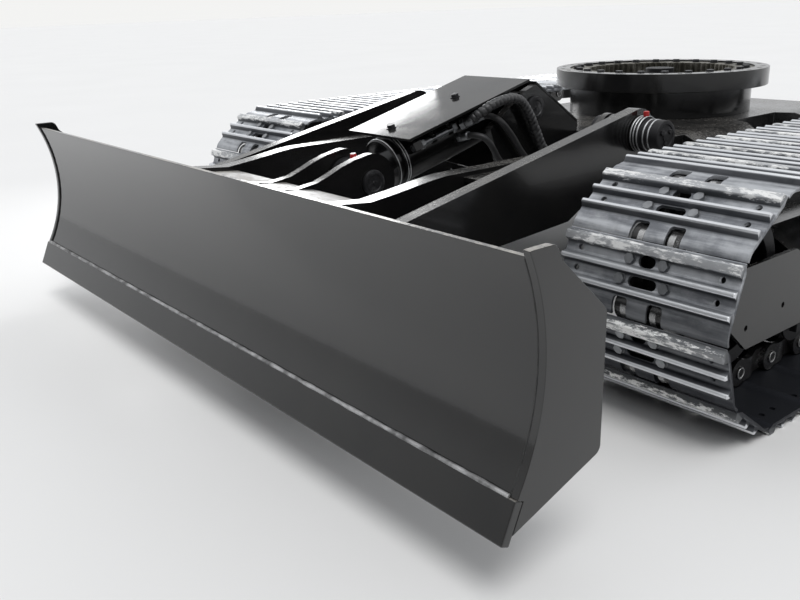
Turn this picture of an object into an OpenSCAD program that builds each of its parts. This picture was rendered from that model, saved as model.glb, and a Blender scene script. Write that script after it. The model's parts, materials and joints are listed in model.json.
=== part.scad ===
// Tracked excavator undercarriage with a dozer blade, about the size of an eight tonne machine.
// The blade is at the front, towards -Y, and the machine stands on its track shoes at z = 0.
// Lengths along Y are written from the idler axle and are moved to the middle of the part at the end.

/* [Tracks] */
// Distance between the middles of the two tracks
track_gauge = 1800; // [1700:10:1900]
// Width of a track shoe
shoe_w = 450; // [400:10:500]
// Distance between two chain pins
chain_pitch = 154; // [150:1:158]
// Shoes on one straight run of a track
run_shoes = 15; // [13:1:17]
// Thickness of a shoe plate
shoe_t = 9; // [7:0.5:12]
// Height of a grouser above its shoe plate
grouser_h = 18; // [14:1:22]
// Thickness of a grouser at its tip
grouser_tip = 9; // [6:1:12]
// Thickness of a grouser at its root
grouser_root = 22; // [16:1:26]
// Height of a chain link
link_h = 74; // [66:1:80]
// Thickness of a chain link
link_t = 24; // [18:1:30]
// Clear width between the links of a pair
link_gap = 80; // [70:2:90]

/* [Track frames] */
// Width of a track frame
frame_w = 190; // [160:5:220]
// Height of the flat underside of a track frame
frame_bottom = 236; // [230:1:245]
// Height of the top of a track frame
frame_top = 400; // [385:1:410]
// Height of the outer shoulder of a track frame
frame_shoulder = 345; // [330:1:360]
// Tread radius of a bottom roller
roller_r = 54; // [48:1:58]
// Bottom rollers on each side
roller_count = 5; // [4:1:6]
// Tread radius of the carrier roller
carrier_r = 40; // [34:1:44]
// Thickness of the idler guide plates
guide_t = 12; // [8:1:16]

/* [Car body] */
// Distance of the slewing axis behind the idler axle
slew_y = 1060; // [1030:5:1090]
// Height of the top plate
body_top = 563; // [550:1:575]
// Height of the underside
body_bottom = 362; // [350:1:380]
// Wall of the ring seat
seat_wall = 22; // [16:1:30]
// Height of the top of the ring seat
seat_top = 652; // [640:1:660]
// Thickness of the flange on the ring seat
seat_flange = 16; // [12:1:24]

/* [Slewing ring] */
// Outer radius of the turning race
race_r = 385; // [380:1:395]
// Width of the turning race
race_w = 51; // [46:1:56]
// Distance of the bolt circle from the outer edge of the turning race
race_edge = 24; // [20:1:28]
// Width of the inner race, up to the tips of its teeth
inner_race_w = 72; // [66:1:78]
// Height of the turning race
race_h = 62; // [56:1:68]
// Bolt holes in the turning race
race_bolts = 24; // [20:2:30]
// Radius of a bolt hole
race_hole_r = 8.8; // [7:0.1:9]
// Depth of the inner gear teeth
gear_depth = 12; // [8:1:14]
// Teeth of the inner gear
gear_teeth = 72; // [60:4:90]

/* [Blade] */
// Width of the blade
blade_w = 2290; // [2200:10:2400]
// Radius of the hollow front of the mouldboard
mould_r = 450; // [430:5:480]
// Thickness of the mouldboard
mould_t = 12; // [9:1:16]
// Height of the top of the mouldboard
mould_top = 608; // [590:1:625]
// Forward place of the top of the mouldboard
mould_top_y = -905; // [-915:1:-895]
// Height of the lower edge of the cutting edge, blade carried clear of the ground
edge_z = 133; // [100:1:150]
// Forward place of the lower edge of the cutting edge
edge_y = -970; // [-980:1:-960]
// Height of the cutting edge along its slope
edge_h = 81; // [70:1:95]
// Thickness of the cutting edge
edge_t = 20; // [16:1:25]
// Slope of the cutting edge from upright
edge_lean = 24; // [20:1:28]
// Thickness of an end plate
end_t = 16; // [12:1:20]
// Depth of an end plate behind the hollow of the mouldboard
end_depth = 146; // [120:2:160]
// Thickness of the plates of the back box
box_t = 12; // [8:1:16]
// Rearmost place of the back box
box_rear = -590; // [-600:1:-570]
// Height of the shelf on the back box at its rear edge
shelf_rear_z = 514; // [508:1:520]
// Rise of the shelf towards the mouldboard
shelf_rise = 34; // [20:1:40]

/* [Push arms] */
// Forward place of the blade pivot
pivot_y = 247; // [240:1:255]
// Height of the blade pivot
pivot_z = 603; // [595:1:610]
// Radius of a pivot pin
pivot_pin_r = 30; // [25:1:34]
// Radius of the round end of an arm
arm_end_r = 70; // [64:1:76]
// Inner face of the inner arm plate, from the middle of the machine
arm_in = 325; // [320:1:330]
// Width of the inner arm plate
arm_in_t = 50; // [40:1:52]
// Clear width between the two arm plates
arm_gap = 85; // [78:1:95]
// Width of the outer arm plate
arm_out_t = 40; // [30:1:42]
// Height of the inner arm plate
arm_in_top = 557; // [550:1:562]
// Rear end of the inner arm plate
arm_in_rear = 60; // [40:5:80]
// Width of the cheek at the inner side of the pivot
cheek_t = 20; // [16:1:24]

/* [Lift cylinder] */
// Forward place of the rod pin
rod_pin_y = -390; // [-395:1:-385]
// Height of the rod pin
rod_pin_z = 502; // [498:1:506]
// Forward place of the barrel pin
barrel_pin_y = 201; // [196:1:206]
// Height of the barrel pin
barrel_pin_z = 656; // [650:1:660]
// Outer radius of the barrel
barrel_r = 75; // [70:1:78]
// Radius of the rod
rod_r = 36; // [30:1:40]
// Radius of the cylinder pins
cyl_pin_r = 27; // [24:1:30]
// Width of a cylinder eye
eye_w = 95; // [88:1:100]
// Outer radius of a cylinder eye
eye_r = 58; // [54:1:62]
// Play round the pin in the open rod eye
open_play = 4; // [3:0.1:6]
// Thickness of a cylinder lug on the blade
lug_t = 25; // [18:1:28]
// Radius of the round end of a cylinder lug
lug_r = 80; // [72:1:84]
// Front face of the gland, from the barrel pin
gland_at = 512; // [505:1:520]

/* [Nose] */
// Half of the width of the nose and of the guard plate
guard_half = 143; // [130:1:150]
// Thickness of a nose plate
nose_t = 25; // [20:1:28]
// Height of the top of the nose above the barrel pin
nose_rise = 70; // [64:1:76]
// Thickness of the guard plate and of the nose cover
guard_t = 8; // [6:1:12]
// Clearance between the barrel and the guard plate
guard_off = 8; // [6:1:12]
// Length of the guard plate
guard_l = 500; // [490:1:510]
// Radius of the pin bosses in the nose
nose_boss_r = 46; // [42:1:50]

/* [Clearances] */
// Radial clearance of a pin in its bore
pin_play = 0.1; // [0.05:0.01:0.2]
// Running gap between neighbours that turn
run_gap = 0.3; // [0.2:0.05:0.5]
// Side gap between a fork and its lug
fork_gap = 6; // [5:0.5:8]

/* [Hidden] */
$fn = 96;

// Chain: five pins lie on each end wheel, a tenth of a turn apart
pins_per_turn = 10;
turn_step = 360 / pins_per_turn;
wheel_pin_r = chain_pitch / 2 / sin(turn_step / 2);
wheel_flat_r = wheel_pin_r * cos(turn_step / 2);
tip_v = link_h / 2 + shoe_t + grouser_h;
// Places of the three grousers along a shoe, as parts of the pitch
grouser_places = [0.20, 0.52, 0.85];
wheel_z = wheel_flat_r + tip_v;
tumbler_l = (run_shoes - 1) * chain_pitch;
track_x = track_gauge / 2;
rail_z = tip_v + link_h / 2;
top_rail_z = 2 * wheel_z - rail_z;
tread_r = wheel_flat_r - link_h / 2 - run_gap;

// Origin: middle of the length and width, on the ground
track_rear = max([for (p = loop_points(chain_pins(), shoe_outline())) p.x]);
mid_y = (edge_y + track_rear) / 2;

frame_in = track_x - frame_w / 2;
frame_out = track_x + frame_w / 2;
roller_first = 322;
roller_last = tumbler_l - 322;
roller_z = rail_z + roller_r + run_gap;
carrier_z = top_rail_z - carrier_r - run_gap;
// Inner and outer faces of the chain links, from the middle of a track
link_in = link_gap / 2;
link_out = link_in + link_t;

race_bottom = seat_top + 6;
race_top = race_bottom + race_h;
race_in = race_r - race_w;
race_bolt_r = race_r - race_edge;
seat_r = race_in - 4;
gear_tip_r = race_in - inner_race_w;

// Cutting edge: its slope along and across the plate
edge_up = [sin(edge_lean), cos(edge_lean)];
edge_back = [cos(edge_lean), -sin(edge_lean)];
edge_foot = [edge_y, edge_z];
edge_head = edge_foot + edge_h * edge_up;
edge_proud = 8;
mould_low = edge_head + edge_proud * edge_back;
mould_high = [mould_top_y, mould_top];
mould_c = circle_centre(mould_low, mould_high, mould_r);
hollow_y = mould_c.x + mould_r;

arm_out = arm_in + arm_in_t + arm_gap;
arm_face = arm_out + arm_out_t;
bore_r = pivot_pin_r + pin_play;
cyl_bore_r = cyl_pin_r + pin_play;
rod_line = [rod_pin_y - barrel_pin_y, rod_pin_z - barrel_pin_z];
cyl_l = norm(rod_line);
cyl_angle = atan2(-rod_line.y, -rod_line.x);
lug_gap_half = eye_w / 2 + fork_gap;

// Centre of a circle of radius r through p and q, on the forward side of the line from p to q
function circle_centre(p, q, r) =
    let (d = q - p, l = norm(d), h = sqrt(r * r - l * l / 4))
    (p + q) / 2 + h / l * [-d.y, d.x];

function turn(p, a) = [p.x * cos(a) - p.y * sin(a), p.x * sin(a) + p.y * cos(a)];

module placed() {
    translate([0, -mid_y, 0]) children();
}

module on_right() {
    mirror([1, 0, 0]) children();
}

module on_both() {
    children();
    on_right() children();
}

// An outline of radius and place along the axis, from its half on one side
function both_ways(half) =
    concat([for (p = half) [p.x, -p.y]], [for (i = [len(half) - 1:-1:0]) half[i]]);

// A flat outline drawn in Y and Z, from one x to another
module slab(x0, x1) {
    translate([x0, 0, 0]) rotate([90, 0, 90]) linear_extrude(x1 - x0) children();
}

// A round bar along X
module bar(r, x0, x1, y, z) {
    translate([x0, y, z]) rotate([0, 90, 0]) cylinder(r = r, h = x1 - x0);
}

// Tracks

// Chain pins in order: the top run from front to rear, the sprocket, the bottom run, the idler
function wheel_pin(c, a) = [c + wheel_pin_r * cos(a), wheel_z + wheel_pin_r * sin(a)];
function chain_pins() = concat(
    [for (i = [0:run_shoes - 1]) [-chain_pitch / 2 + i * chain_pitch, wheel_z + wheel_flat_r]],
    [for (i = [0:3]) wheel_pin(tumbler_l, 90 - turn_step * (i + 0.5))],
    [for (i = [0:run_shoes - 1])
        [tumbler_l + chain_pitch / 2 - i * chain_pitch, wheel_z - wheel_flat_r]],
    [for (i = [0:3]) wheel_pin(0, 270 - turn_step * (i + 0.5))]);

// One shoe from its first pin, u along the chain and v outwards
function shoe_outline() = concat(
    [[0, link_h / 2 + shoe_t / 2]],
    [for (g = grouser_places, k = [0:3])
        let (half = (k == 0 || k == 3 ? grouser_root : grouser_tip) / 2, side = k < 2 ? -1 : 1)
        [g * chain_pitch + side * half, link_h / 2 + shoe_t + (k == 0 || k == 3 ? 0 : grouser_h)]],
    [[chain_pitch - 3, link_h / 2 + shoe_t]]);

function chain_place(p, q, s) =
    let (d = (q - p) / norm(q - p)) p + s.x * d + s.y * [-d.y, d.x];

function loop_points(pins, shape) =
    [for (i = [0:len(pins) - 1], s = shape) chain_place(pins[i], pins[(i + 1) % len(pins)], s)];

// The same line at one height over the chain, with its corners on the bisectors
function loop_line(pins, v) =
    [for (i = [0:len(pins) - 1])
        let (n = len(pins), a = pins[(i + n - 1) % n], b = pins[i], c = pins[(i + 1) % n],
            m = (b - a) / norm(b - a) + (c - b) / norm(c - b), k = m / norm(m),
            e = (b - a) / norm(b - a))
        b + v / (k * e) * [-k.y, k.x]];

module track() {
    pins = chain_pins();
    slab(track_x - shoe_w / 2, track_x + shoe_w / 2) difference() {
        polygon(loop_points(pins, shoe_outline()));
        polygon(loop_line(pins, link_h / 2));
    }
    for (side = [-1, 1]) {
        x0 = track_x + side * (link_gap + link_t) / 2 - link_t / 2;
        slab(x0, x0 + link_t) difference() {
            polygon(loop_line(pins, link_h / 2));
            polygon(loop_line(pins, -link_h / 2));
        }
    }
}

module track_colour() {
    color([0.62, 0.63, 0.64]) placed() children();
}

// Track frames

roller_step = (roller_last - roller_first) / (roller_count - 1);
motor_ring_r = 168;
idler_shaft_r = 30;
beam_front = 235;
guide_front = -82;
guide_rear = 300;
guide_low = 160;
guide_hole_r = 7;
// Holes of the guide plates: place along Y, height
GUIDE_HOLES = [[0, 217], [170, 235]];
beam_rear = tumbler_l - wheel_pin_r - 18;

module track_frame() {
    color([0.10, 0.10, 0.11]) placed() {
        rotate([90, 0, 0]) translate([0, 0, -beam_rear])
            linear_extrude(beam_rear - beam_front) polygon([
                [frame_in, frame_bottom], [frame_in, frame_top], [track_x, frame_top],
                [frame_out, frame_shoulder], [frame_out, frame_bottom]]);
        // Guide plates beside the idler
        for (x = [frame_in - guide_t, frame_out])
            slab(x, x + guide_t) difference() {
                polygon([[guide_front, frame_bottom], [guide_front, 330], [guide_front + 30, 372],
                    [guide_rear - 90, 372], [guide_rear, frame_shoulder - 20],
                    [guide_rear, guide_low], [guide_front + 90, guide_low]]);
                for (h = GUIDE_HOLES) translate([h[0], h[1]]) circle(r = guide_hole_r);
            }
        // Round end that carries the travel motor
        slab(frame_in, frame_in + 40) difference() {
            union() {
                translate([tumbler_l, wheel_z]) circle(r = motor_ring_r);
                translate([beam_rear - 40, frame_bottom])
                    square([tumbler_l - beam_rear, frame_shoulder - frame_bottom]);
            }
            translate([tumbler_l, wheel_z]) circle(r = motor_body_r + pin_play);
        }
    }
}

// Half width of the idler and of its web, radii of its hub and rim, height of its flange
idler_half = 62;
idler_web = 14;
idler_hub_r = 70;
idler_rim_r = 160;
idler_flange = 16;

module idler() {
    color([0.08, 0.08, 0.09]) placed() translate([track_x, 0, wheel_z]) rotate([0, 90, 0])
        rotate_extrude() polygon(both_ways([
            [idler_shaft_r + pin_play, idler_half], [idler_hub_r, idler_half],
            [idler_hub_r + 12, idler_web + 4], [idler_rim_r - 10, idler_web],
            [idler_rim_r, idler_half], [tread_r, idler_half], [tread_r, link_in - 8],
            [tread_r + idler_flange, link_in - 13]]));
}

// Bearing blocks and forks of the idler
block_in = idler_half + 2;
block_h = 44;
block_y = 52;
block_chamfer = 12;
fork_h = 28;
fork_root = 20;
yoke_t = 14;

module idler_yoke() {
    color([0.12, 0.12, 0.13]) placed() {
        bar(idler_shaft_r, track_x - block_in, track_x + block_in, 0, wheel_z);
        for (side = [-1, 1]) {
            x0 = track_x + side * (frame_w / 2 + block_in) / 2 - (frame_w / 2 - block_in) / 2;
            slab(x0, x0 + frame_w / 2 - block_in) polygon([
                [-block_y, wheel_z - block_h + block_chamfer],
                [-block_y, wheel_z + block_h - block_chamfer],
                [-block_y + block_chamfer, wheel_z + block_h], [block_y, wheel_z + block_h],
                [block_y + fork_root, wheel_z + fork_h], [beam_front, wheel_z + fork_h],
                [beam_front, wheel_z - fork_h], [block_y + fork_root, wheel_z - fork_h],
                [block_y, wheel_z - block_h], [-block_y + block_chamfer, wheel_z - block_h]]);
        }
        slab(track_x - block_in, track_x + block_in)
            translate([beam_front - yoke_t, wheel_z - fork_h]) square([yoke_t, 2 * fork_h]);
    }
}

// Every second gap between two teeth takes a bushing of the chain
sprocket_teeth = 2 * pins_per_turn;
sprocket_half = 18;
bushing_r = 26;
tooth_tip = 14;
motor_body_r = 120;
motor_flange_r = 135;
// Length of the motor casing inside the frame, places of the cover's steps outside the track's middle
motor_case_l = 70;
motor_case_step = 12;
motor_spigot = 16;
cover_step = 46;
cover_dome = 76;
cover_cap_r = 46;

function sprocket_gap(a) = [for (k = [-60:30:60])
    let (p = [wheel_pin_r - bushing_r * cos(k), bushing_r * sin(k)]) turn(p, a)];

module sprocket() {
    step = 360 / sprocket_teeth;
    tip = atan2(6, wheel_pin_r);
    color([0.10, 0.10, 0.11]) placed() difference() {
        slab(track_x - sprocket_half, track_x + sprocket_half) translate([tumbler_l, wheel_z])
            polygon([for (i = [0:sprocket_teeth - 1], p = concat(sprocket_gap((i + 0.5) * step),
                [turn([wheel_pin_r + tooth_tip, 0], (i + 1) * step - tip),
                turn([wheel_pin_r + tooth_tip, 0], (i + 1) * step + tip)])) p]);
        bar(motor_flange_r + pin_play, track_x - 30, track_x + 30, tumbler_l, wheel_z);
    }
}

// Casing inside the frame, flange in the sprocket and the stepped gear cover
module travel_motor() {
    color([0.09, 0.09, 0.10]) placed() translate([0, tumbler_l, wheel_z]) rotate([0, 90, 0])
        rotate_extrude() polygon([
            [0, frame_in - motor_case_l], [motor_body_r - 26, frame_in - motor_case_l],
            [motor_body_r - motor_case_step, frame_in - motor_case_l + motor_case_step],
            [motor_body_r - motor_case_step, frame_in - motor_spigot],
            [motor_body_r, frame_in - motor_spigot],
            [motor_body_r, track_x - sprocket_half - 14], [motor_flange_r, track_x - sprocket_half - 14],
            [motor_flange_r, track_x + cover_step], [motor_flange_r - 12, track_x + cover_step + 12],
            [motor_body_r - 16, track_x + cover_step + 12], [motor_body_r - 20, track_x + cover_dome],
            [motor_body_r - 34, track_x + cover_dome + 8], [cover_cap_r, track_x + cover_dome + 8],
            [cover_cap_r - 6, track_x + cover_dome + 2], [0, track_x + cover_dome + 2]]);
}

roller_shaft_r = 34;
roller_half = link_out + 12;
roller_flange = 12;
// Half length and drop of the roller brackets
bracket_half = 36;
bracket_drop = 30;

module bottom_rollers() {
    bracket_w = frame_w / 2 - roller_half;
    color([0.09, 0.09, 0.10]) placed() for (i = [0:roller_count - 1])
        translate([track_x, roller_first + i * roller_step, roller_z]) {
            rotate([0, 90, 0]) rotate_extrude() polygon(both_ways([
                [0, roller_half], [roller_shaft_r, roller_half], [roller_shaft_r, link_out + 8],
                [roller_r + roller_flange, link_out + 8], [roller_r + roller_flange, link_out + 2],
                [roller_r, link_out + 2], [roller_r, link_in - 2], [roller_r + 10, link_in - 4],
                [roller_r + 10, link_in - 10], [roller_r - 10, link_in - 14]]));
            for (x = [-frame_w / 2, roller_half]) translate([x, -bracket_half, -bracket_drop])
                cube([bracket_w, 2 * bracket_half, frame_bottom - roller_z + bracket_drop]);
        }
}

carrier_half = link_out + 6;
carrier_flange = 8;
carrier_stub_r = 24;

module carrier_roller() {
    color([0.09, 0.09, 0.10]) placed() translate([track_x, tumbler_l / 2, 0]) {
        translate([0, 0, carrier_z]) rotate([0, 90, 0]) rotate_extrude() polygon(both_ways([
            [0, carrier_half], [carrier_r, carrier_half], [carrier_r, link_in - 4],
            [carrier_r + carrier_flange, link_in - 8]]));
        translate([-frame_w / 2, 0, carrier_z]) rotate([0, 90, 0])
            cylinder(r = carrier_stub_r, h = frame_w / 2 - carrier_half);
        translate([-frame_w / 2, -carrier_stub_r, frame_top])
            cube([20, 2 * carrier_stub_r, carrier_z - frame_top]);
    }
}

// Car body

cheek_in = arm_in + arm_in_t + 5;
pivot_lug_in = cheek_in + cheek_t + fork_gap;
pivot_lug_out = arm_out - fork_gap;
pivot_lug_r = 48;
leg_end = frame_in;
body_half = 400;
body_front = 400;
body_rear = 1560;
well_r = 220;
// Places of a leg's edges along Y, from the slewing axis
leg_root = 130;
leg_inner = 330;
leg_outer = 560;
leg_end_low = 246;
leg_end_high = 430;
leg_shoulder = 60;

function mirrored(half) = concat(half, [for (i = [len(half) - 1:-1:0]) [-half[i].x, half[i].y]]);

module center_frame() {
    color([0.11, 0.11, 0.12]) placed() difference() {
        intersection() {
            translate([0, 0, leg_end_low - 10]) linear_extrude(body_top) polygon(mirrored([
                [pivot_lug_out, body_front], [pivot_lug_out, slew_y - leg_outer + 40],
                [leg_end, slew_y - leg_outer], [leg_end, slew_y - leg_inner],
                [body_half, slew_y - leg_root], [body_half, slew_y + leg_root],
                [leg_end, slew_y + leg_inner], [leg_end, slew_y + leg_outer],
                [body_half, slew_y + leg_outer - 70], [body_half - 60, body_rear]]));
            rotate([90, 0, 0]) translate([0, 0, -2 * slew_y]) linear_extrude(2 * slew_y)
                polygon(mirrored([
                    [body_half + leg_shoulder, body_top], [leg_end, leg_end_high],
                    [leg_end, leg_end_low], [body_half + 2 * leg_shoulder, body_bottom]]));
        }
        translate([0, slew_y, body_bottom - 10]) cylinder(r = well_r, h = body_top);
    }
}

module pivot_lugs() {
    color([0.11, 0.11, 0.12]) placed() on_both() slab(pivot_lug_in, pivot_lug_out) difference() {
        union() {
            translate([pivot_y, pivot_z]) circle(r = pivot_lug_r);
            polygon([[pivot_y, pivot_z - pivot_lug_r], [body_front, body_bottom + 20],
                [body_front, body_top], [pivot_y, pivot_z + pivot_lug_r]]);
        }
        translate([pivot_y, pivot_z]) circle(r = bore_r);
    }
}

module ring_seat() {
    flange_r = gear_tip_r + gear_depth + 16;
    color([0.10, 0.10, 0.11]) placed() translate([0, slew_y, 0]) rotate_extrude() polygon([
        [seat_r - seat_wall, body_top], [seat_r, body_top], [seat_r, seat_top],
        [flange_r, seat_top], [flange_r, seat_top - seat_flange],
        [seat_r - seat_wall, seat_top - seat_flange]]);
}

module inner_race() {
    color([0.22, 0.22, 0.23]) placed() translate([0, slew_y, seat_top])
        linear_extrude(race_h) difference() {
            circle(r = race_in - run_gap);
            polygon([for (i = [0:gear_teeth - 1], k = [0:3])
                let (r = gear_tip_r + (k == 0 || k == 3 ? gear_depth : 0),
                    a = (i + [0.10, 0.36, 0.64, 0.90][k]) * 360 / gear_teeth)
                [r * cos(a), r * sin(a)]]);
        }
}

module turning_race() {
    color([0.12, 0.12, 0.13]) placed() translate([0, slew_y, race_bottom])
        difference() {
            cylinder(r = race_r, h = race_h);
            translate([0, 0, -1]) cylinder(r = race_in, h = race_h + 2);
            for (i = [0:race_bolts - 1]) rotate([0, 0, i * 360 / race_bolts])
                translate([race_bolt_r, 0, -1]) cylinder(r = race_hole_r, h = race_h + 2);
        }
}

module swivel_joint() {
    color([0.30, 0.30, 0.32]) placed() translate([0, slew_y, 0]) {
        translate([0, 0, body_bottom]) cylinder(r = 70, h = race_top - body_bottom - 30);
        translate([0, 0, body_bottom]) cylinder(r = well_r - 0.2, h = 14);
        translate([0, 0, race_top - 30]) cylinder(r = 52, h = 24);
    }
}

// Nose that carries the barrel pin, between the arms

// Outline of a nose plate: front corner, foot, shoulder, peak and heel
nose_top = barrel_pin_z + nose_rise;
nose_front = [barrel_pin_y - 191, barrel_pin_z - 44];
nose_foot = [barrel_pin_y - 141, body_top - 83];
nose_shoulder = [barrel_pin_y - 51, nose_top - 20];
nose_peak = barrel_pin_y + 7;
nose_heel = body_top + 25;
nose_step = 12;
nose_low = body_bottom + 40;

module nose_plates() {
    color([0.10, 0.10, 0.11]) placed() on_both() {
        slab(guard_half - nose_t, guard_half) difference() {
            polygon([nose_front, nose_shoulder, [nose_peak, nose_top],
                [body_front + nose_step, nose_heel], [body_front + nose_step, body_top],
                [body_front, body_top], [body_front, nose_low], [body_front - 100, nose_low],
                nose_foot]);
            translate([barrel_pin_y, barrel_pin_z]) circle(r = cyl_bore_r);
        }
        slab(lug_gap_half, guard_half - nose_t) difference() {
            translate([barrel_pin_y, barrel_pin_z]) circle(r = nose_boss_r);
            translate([barrel_pin_y, barrel_pin_z]) circle(r = cyl_bore_r);
        }
    }
}

// Sloping plate over the rear of the nose
module nose_cover() {
    slope = atan2(nose_top - nose_heel, body_front + nose_step - nose_peak);
    up = guard_t / cos(slope);
    color([0.13, 0.13, 0.14]) placed() slab(-guard_half, guard_half) polygon([
        [nose_peak, nose_top], [body_front + nose_step, nose_heel],
        [body_front + nose_step, nose_heel + up], [nose_peak, nose_top + up]]);
}

guard_low = barrel_r + guard_off;
guard_seat_w = 60;
guard_seat_l = 36;
// Places of the two seats of the guard plate along the barrel
guard_seats = [184, 446];

// Cover over the cylinder, bolted to two seats on the barrel
module guard_plate() {
    color([0.14, 0.14, 0.15]) along_cylinder() translate([0, -guard_half, guard_low])
        cube([guard_l, 2 * guard_half, guard_t]);
}

// Blade

module edge_shape() {
    polygon([edge_foot, edge_head, edge_head + edge_t * edge_back, edge_foot + edge_t * edge_back]);
}

module mouldboard() {
    color([0.09, 0.09, 0.10]) placed()
        slab(-blade_w / 2 + end_t, blade_w / 2 - end_t) intersection() {
            difference() {
                translate(mould_c) circle(r = mould_r + mould_t);
                translate(mould_c) circle(r = mould_r);
            }
            polygon([edge_head - 40 * edge_back, [mould_c.x, mould_top], [hollow_y + 60, mould_top],
                edge_head + 160 * edge_back]);
        }
}

module cutting_edge() {
    color([0.12, 0.12, 0.13]) placed() slab(-blade_w / 2, blade_w / 2) edge_shape();
}

end_round = 18;
end_rear = hollow_y + end_depth;

module end_plate() {
    color([0.20, 0.20, 0.21]) placed() slab(blade_w / 2 - end_t, blade_w / 2) difference() {
        offset(r = end_round) offset(delta = -end_round) polygon([
            [mould_c.x, mould_c.y + 80], [mould_top_y - 6, mould_top + 14],
            [mould_top_y + 52, mould_top + 14], [mould_top_y + 64, mould_top - 14],
            [end_rear, mould_top - 124], [end_rear, edge_z + 86], edge_foot + [14, 6],
            mould_c - [0, 80]]);
        translate(mould_c) circle(r = mould_r - 4);
        polygon([mould_c, mould_low, edge_head + edge_t * edge_back,
            edge_foot + edge_t * edge_back, edge_foot + edge_t * edge_back - 60 * edge_up,
            edge_foot - 300 * edge_back]);
    }
}

box_low = [-800, 300];
box_lip = 60;
shelf_front_z = shelf_rear_z + shelf_rise;
box_front = hollow_y - 40;
rail_low = 176;
rail_high = 262;
rail_depth = 74;

module box_outline() {
    polygon([[box_front, shelf_front_z], [box_rear, shelf_rear_z], [box_rear, shelf_rear_z - box_lip],
        box_low, [box_front, box_low.y - 10]]);
}

module behind_mouldboard() {
    difference() {
        children();
        translate(mould_c) circle(r = mould_r + mould_t);
    }
}

// Hollow box with the shelf on top between the arms, and a rail along the lower back outside them
module back_box() {
    color([0.16, 0.16, 0.17]) placed() {
        slab(-arm_in, arm_in) behind_mouldboard() difference() {
            box_outline();
            polygon([[box_front - 20, shelf_front_z - box_t], [box_rear - box_t, shelf_rear_z - box_t],
                [box_rear - box_t, shelf_rear_z - box_lip + 4], [box_low.x - 4, box_low.y + box_t],
                [box_front - 20, box_low.y - 10 + box_t]]);
        }
        on_both() slab(arm_face, blade_w / 2 - end_t) behind_mouldboard() polygon([
            [box_front, rail_low], [hollow_y, rail_low], [hollow_y + rail_depth, rail_low + 30],
            [hollow_y + rail_depth, rail_high - 30], [hollow_y, rail_high], [box_front, rail_high]]);
    }
}

// Top edge of a cylinder lug from the shelf to the rod pin: places along Y and Z from the pin
LUG_TOP = [[-400, 42], [-249, 18], [-184, 26], [-140, 42], [-105, 56], [-60, 70], [-20, 77.5]];
LUG_LOW = [[-45, -66], [-150, -120], [-300, -150]];

module lug_outline() {
    difference() {
        union() {
            translate([rod_pin_y, rod_pin_z]) circle(r = lug_r);
            polygon([for (p = concat(LUG_TOP, [[0, 0]], LUG_LOW)) [rod_pin_y, rod_pin_z] + p]);
        }
        box_outline();
        translate(mould_c) circle(r = mould_r + mould_t + 40);
        translate([rod_pin_y, rod_pin_z]) circle(r = cyl_bore_r);
    }
}

module cylinder_lugs() {
    color([0.10, 0.10, 0.11]) placed() on_both()
        slab(lug_gap_half, lug_gap_half + lug_t) lug_outline();
}

// Push arms

arm_front = hollow_y - 60;
arm_knee = [-50, 400];
arm_heel = [-350, 380];
arm_foot = 275;
cheek_r = 50;
// Webs between the arm plates
web_t = 12;
web_front = -320;
web_under = 533;
web_low = 470;
// Top edge of the inner plate: place along Y, distance below its rear top
ARM_SWEEP = [[-703, 20], [-621, 28], [-538, 19], [-425, 4], [-380, 0]];

module arm_end(r) {
    difference() {
        union() {
            behind_mouldboard() children();
            translate([pivot_y, pivot_z]) circle(r = r);
        }
        translate([pivot_y, pivot_z]) circle(r = bore_r);
    }
}

// Inner plate with a swept top, outer plate to the pivot, webs between them and the inner cheek
module push_arm() {
    color([0.12, 0.12, 0.13]) placed() {
        slab(arm_in, arm_in + arm_in_t) behind_mouldboard() polygon(concat(
            [[arm_front, arm_in_top - 12]], [for (p = ARM_SWEEP) [p[0], arm_in_top - p[1]]],
            [[arm_in_rear, arm_in_top], [arm_in_rear, 445], arm_knee, arm_heel, [arm_front, arm_foot]]));
        slab(arm_out, arm_face) arm_end(arm_end_r) polygon([
            [arm_front, 439], [-620, 500], [pivot_y - 14, pivot_z + arm_end_r - 2], [pivot_y, pivot_z],
            [pivot_y - 30, pivot_z - 63], arm_knee, arm_heel, [arm_front, arm_foot]]);
        slab(arm_in + arm_in_t, arm_out) behind_mouldboard() {
            polygon([[web_front, web_under], [web_front, web_under + web_t],
                [arm_in_rear, web_under + web_t], [arm_in_rear, web_low],
                [arm_in_rear - web_t, web_low], [arm_in_rear - web_t, web_under]]);
            polygon([[arm_front, 300], [-350, 400], [-50, 420], [40, web_low], [40, web_low + web_t],
                [-50, 420 + web_t], [-350, 400 + web_t], [arm_front, 300 + web_t]]);
        }
        slab(cheek_in, cheek_in + cheek_t) arm_end(cheek_r) polygon([
            [arm_in_rear, web_under + web_t], [pivot_y - 20, pivot_z + cheek_r - 5],
            [pivot_y, pivot_z], [pivot_y + 10, pivot_z - cheek_r + 1], [arm_in_rear, web_low]]);
    }
}

// Collar inside the cheek, ring and boss outside the arm
collar_w = 22;
ring_w = 30;
boss_w = 56;
pivot_boss_r = pivot_pin_r + 14;
pivot_ring_r = pivot_pin_r + 20;

module pivot_pins() {
    color([0.30, 0.30, 0.31]) placed() on_both() {
        bar(pivot_pin_r, cheek_in - collar_w / 2, arm_face + ring_w + boss_w / 2, pivot_y, pivot_z);
        bar(pivot_pin_r + 12, cheek_in - collar_w, cheek_in - run_gap, pivot_y, pivot_z);
        bar(pivot_ring_r, arm_face + run_gap, arm_face + ring_w, pivot_y, pivot_z);
        bar(pivot_boss_r, arm_face + ring_w, arm_face + ring_w + boss_w, pivot_y, pivot_z);
    }
}

pin_head_r = cyl_pin_r + 9;
pin_head_t = 8;

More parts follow.
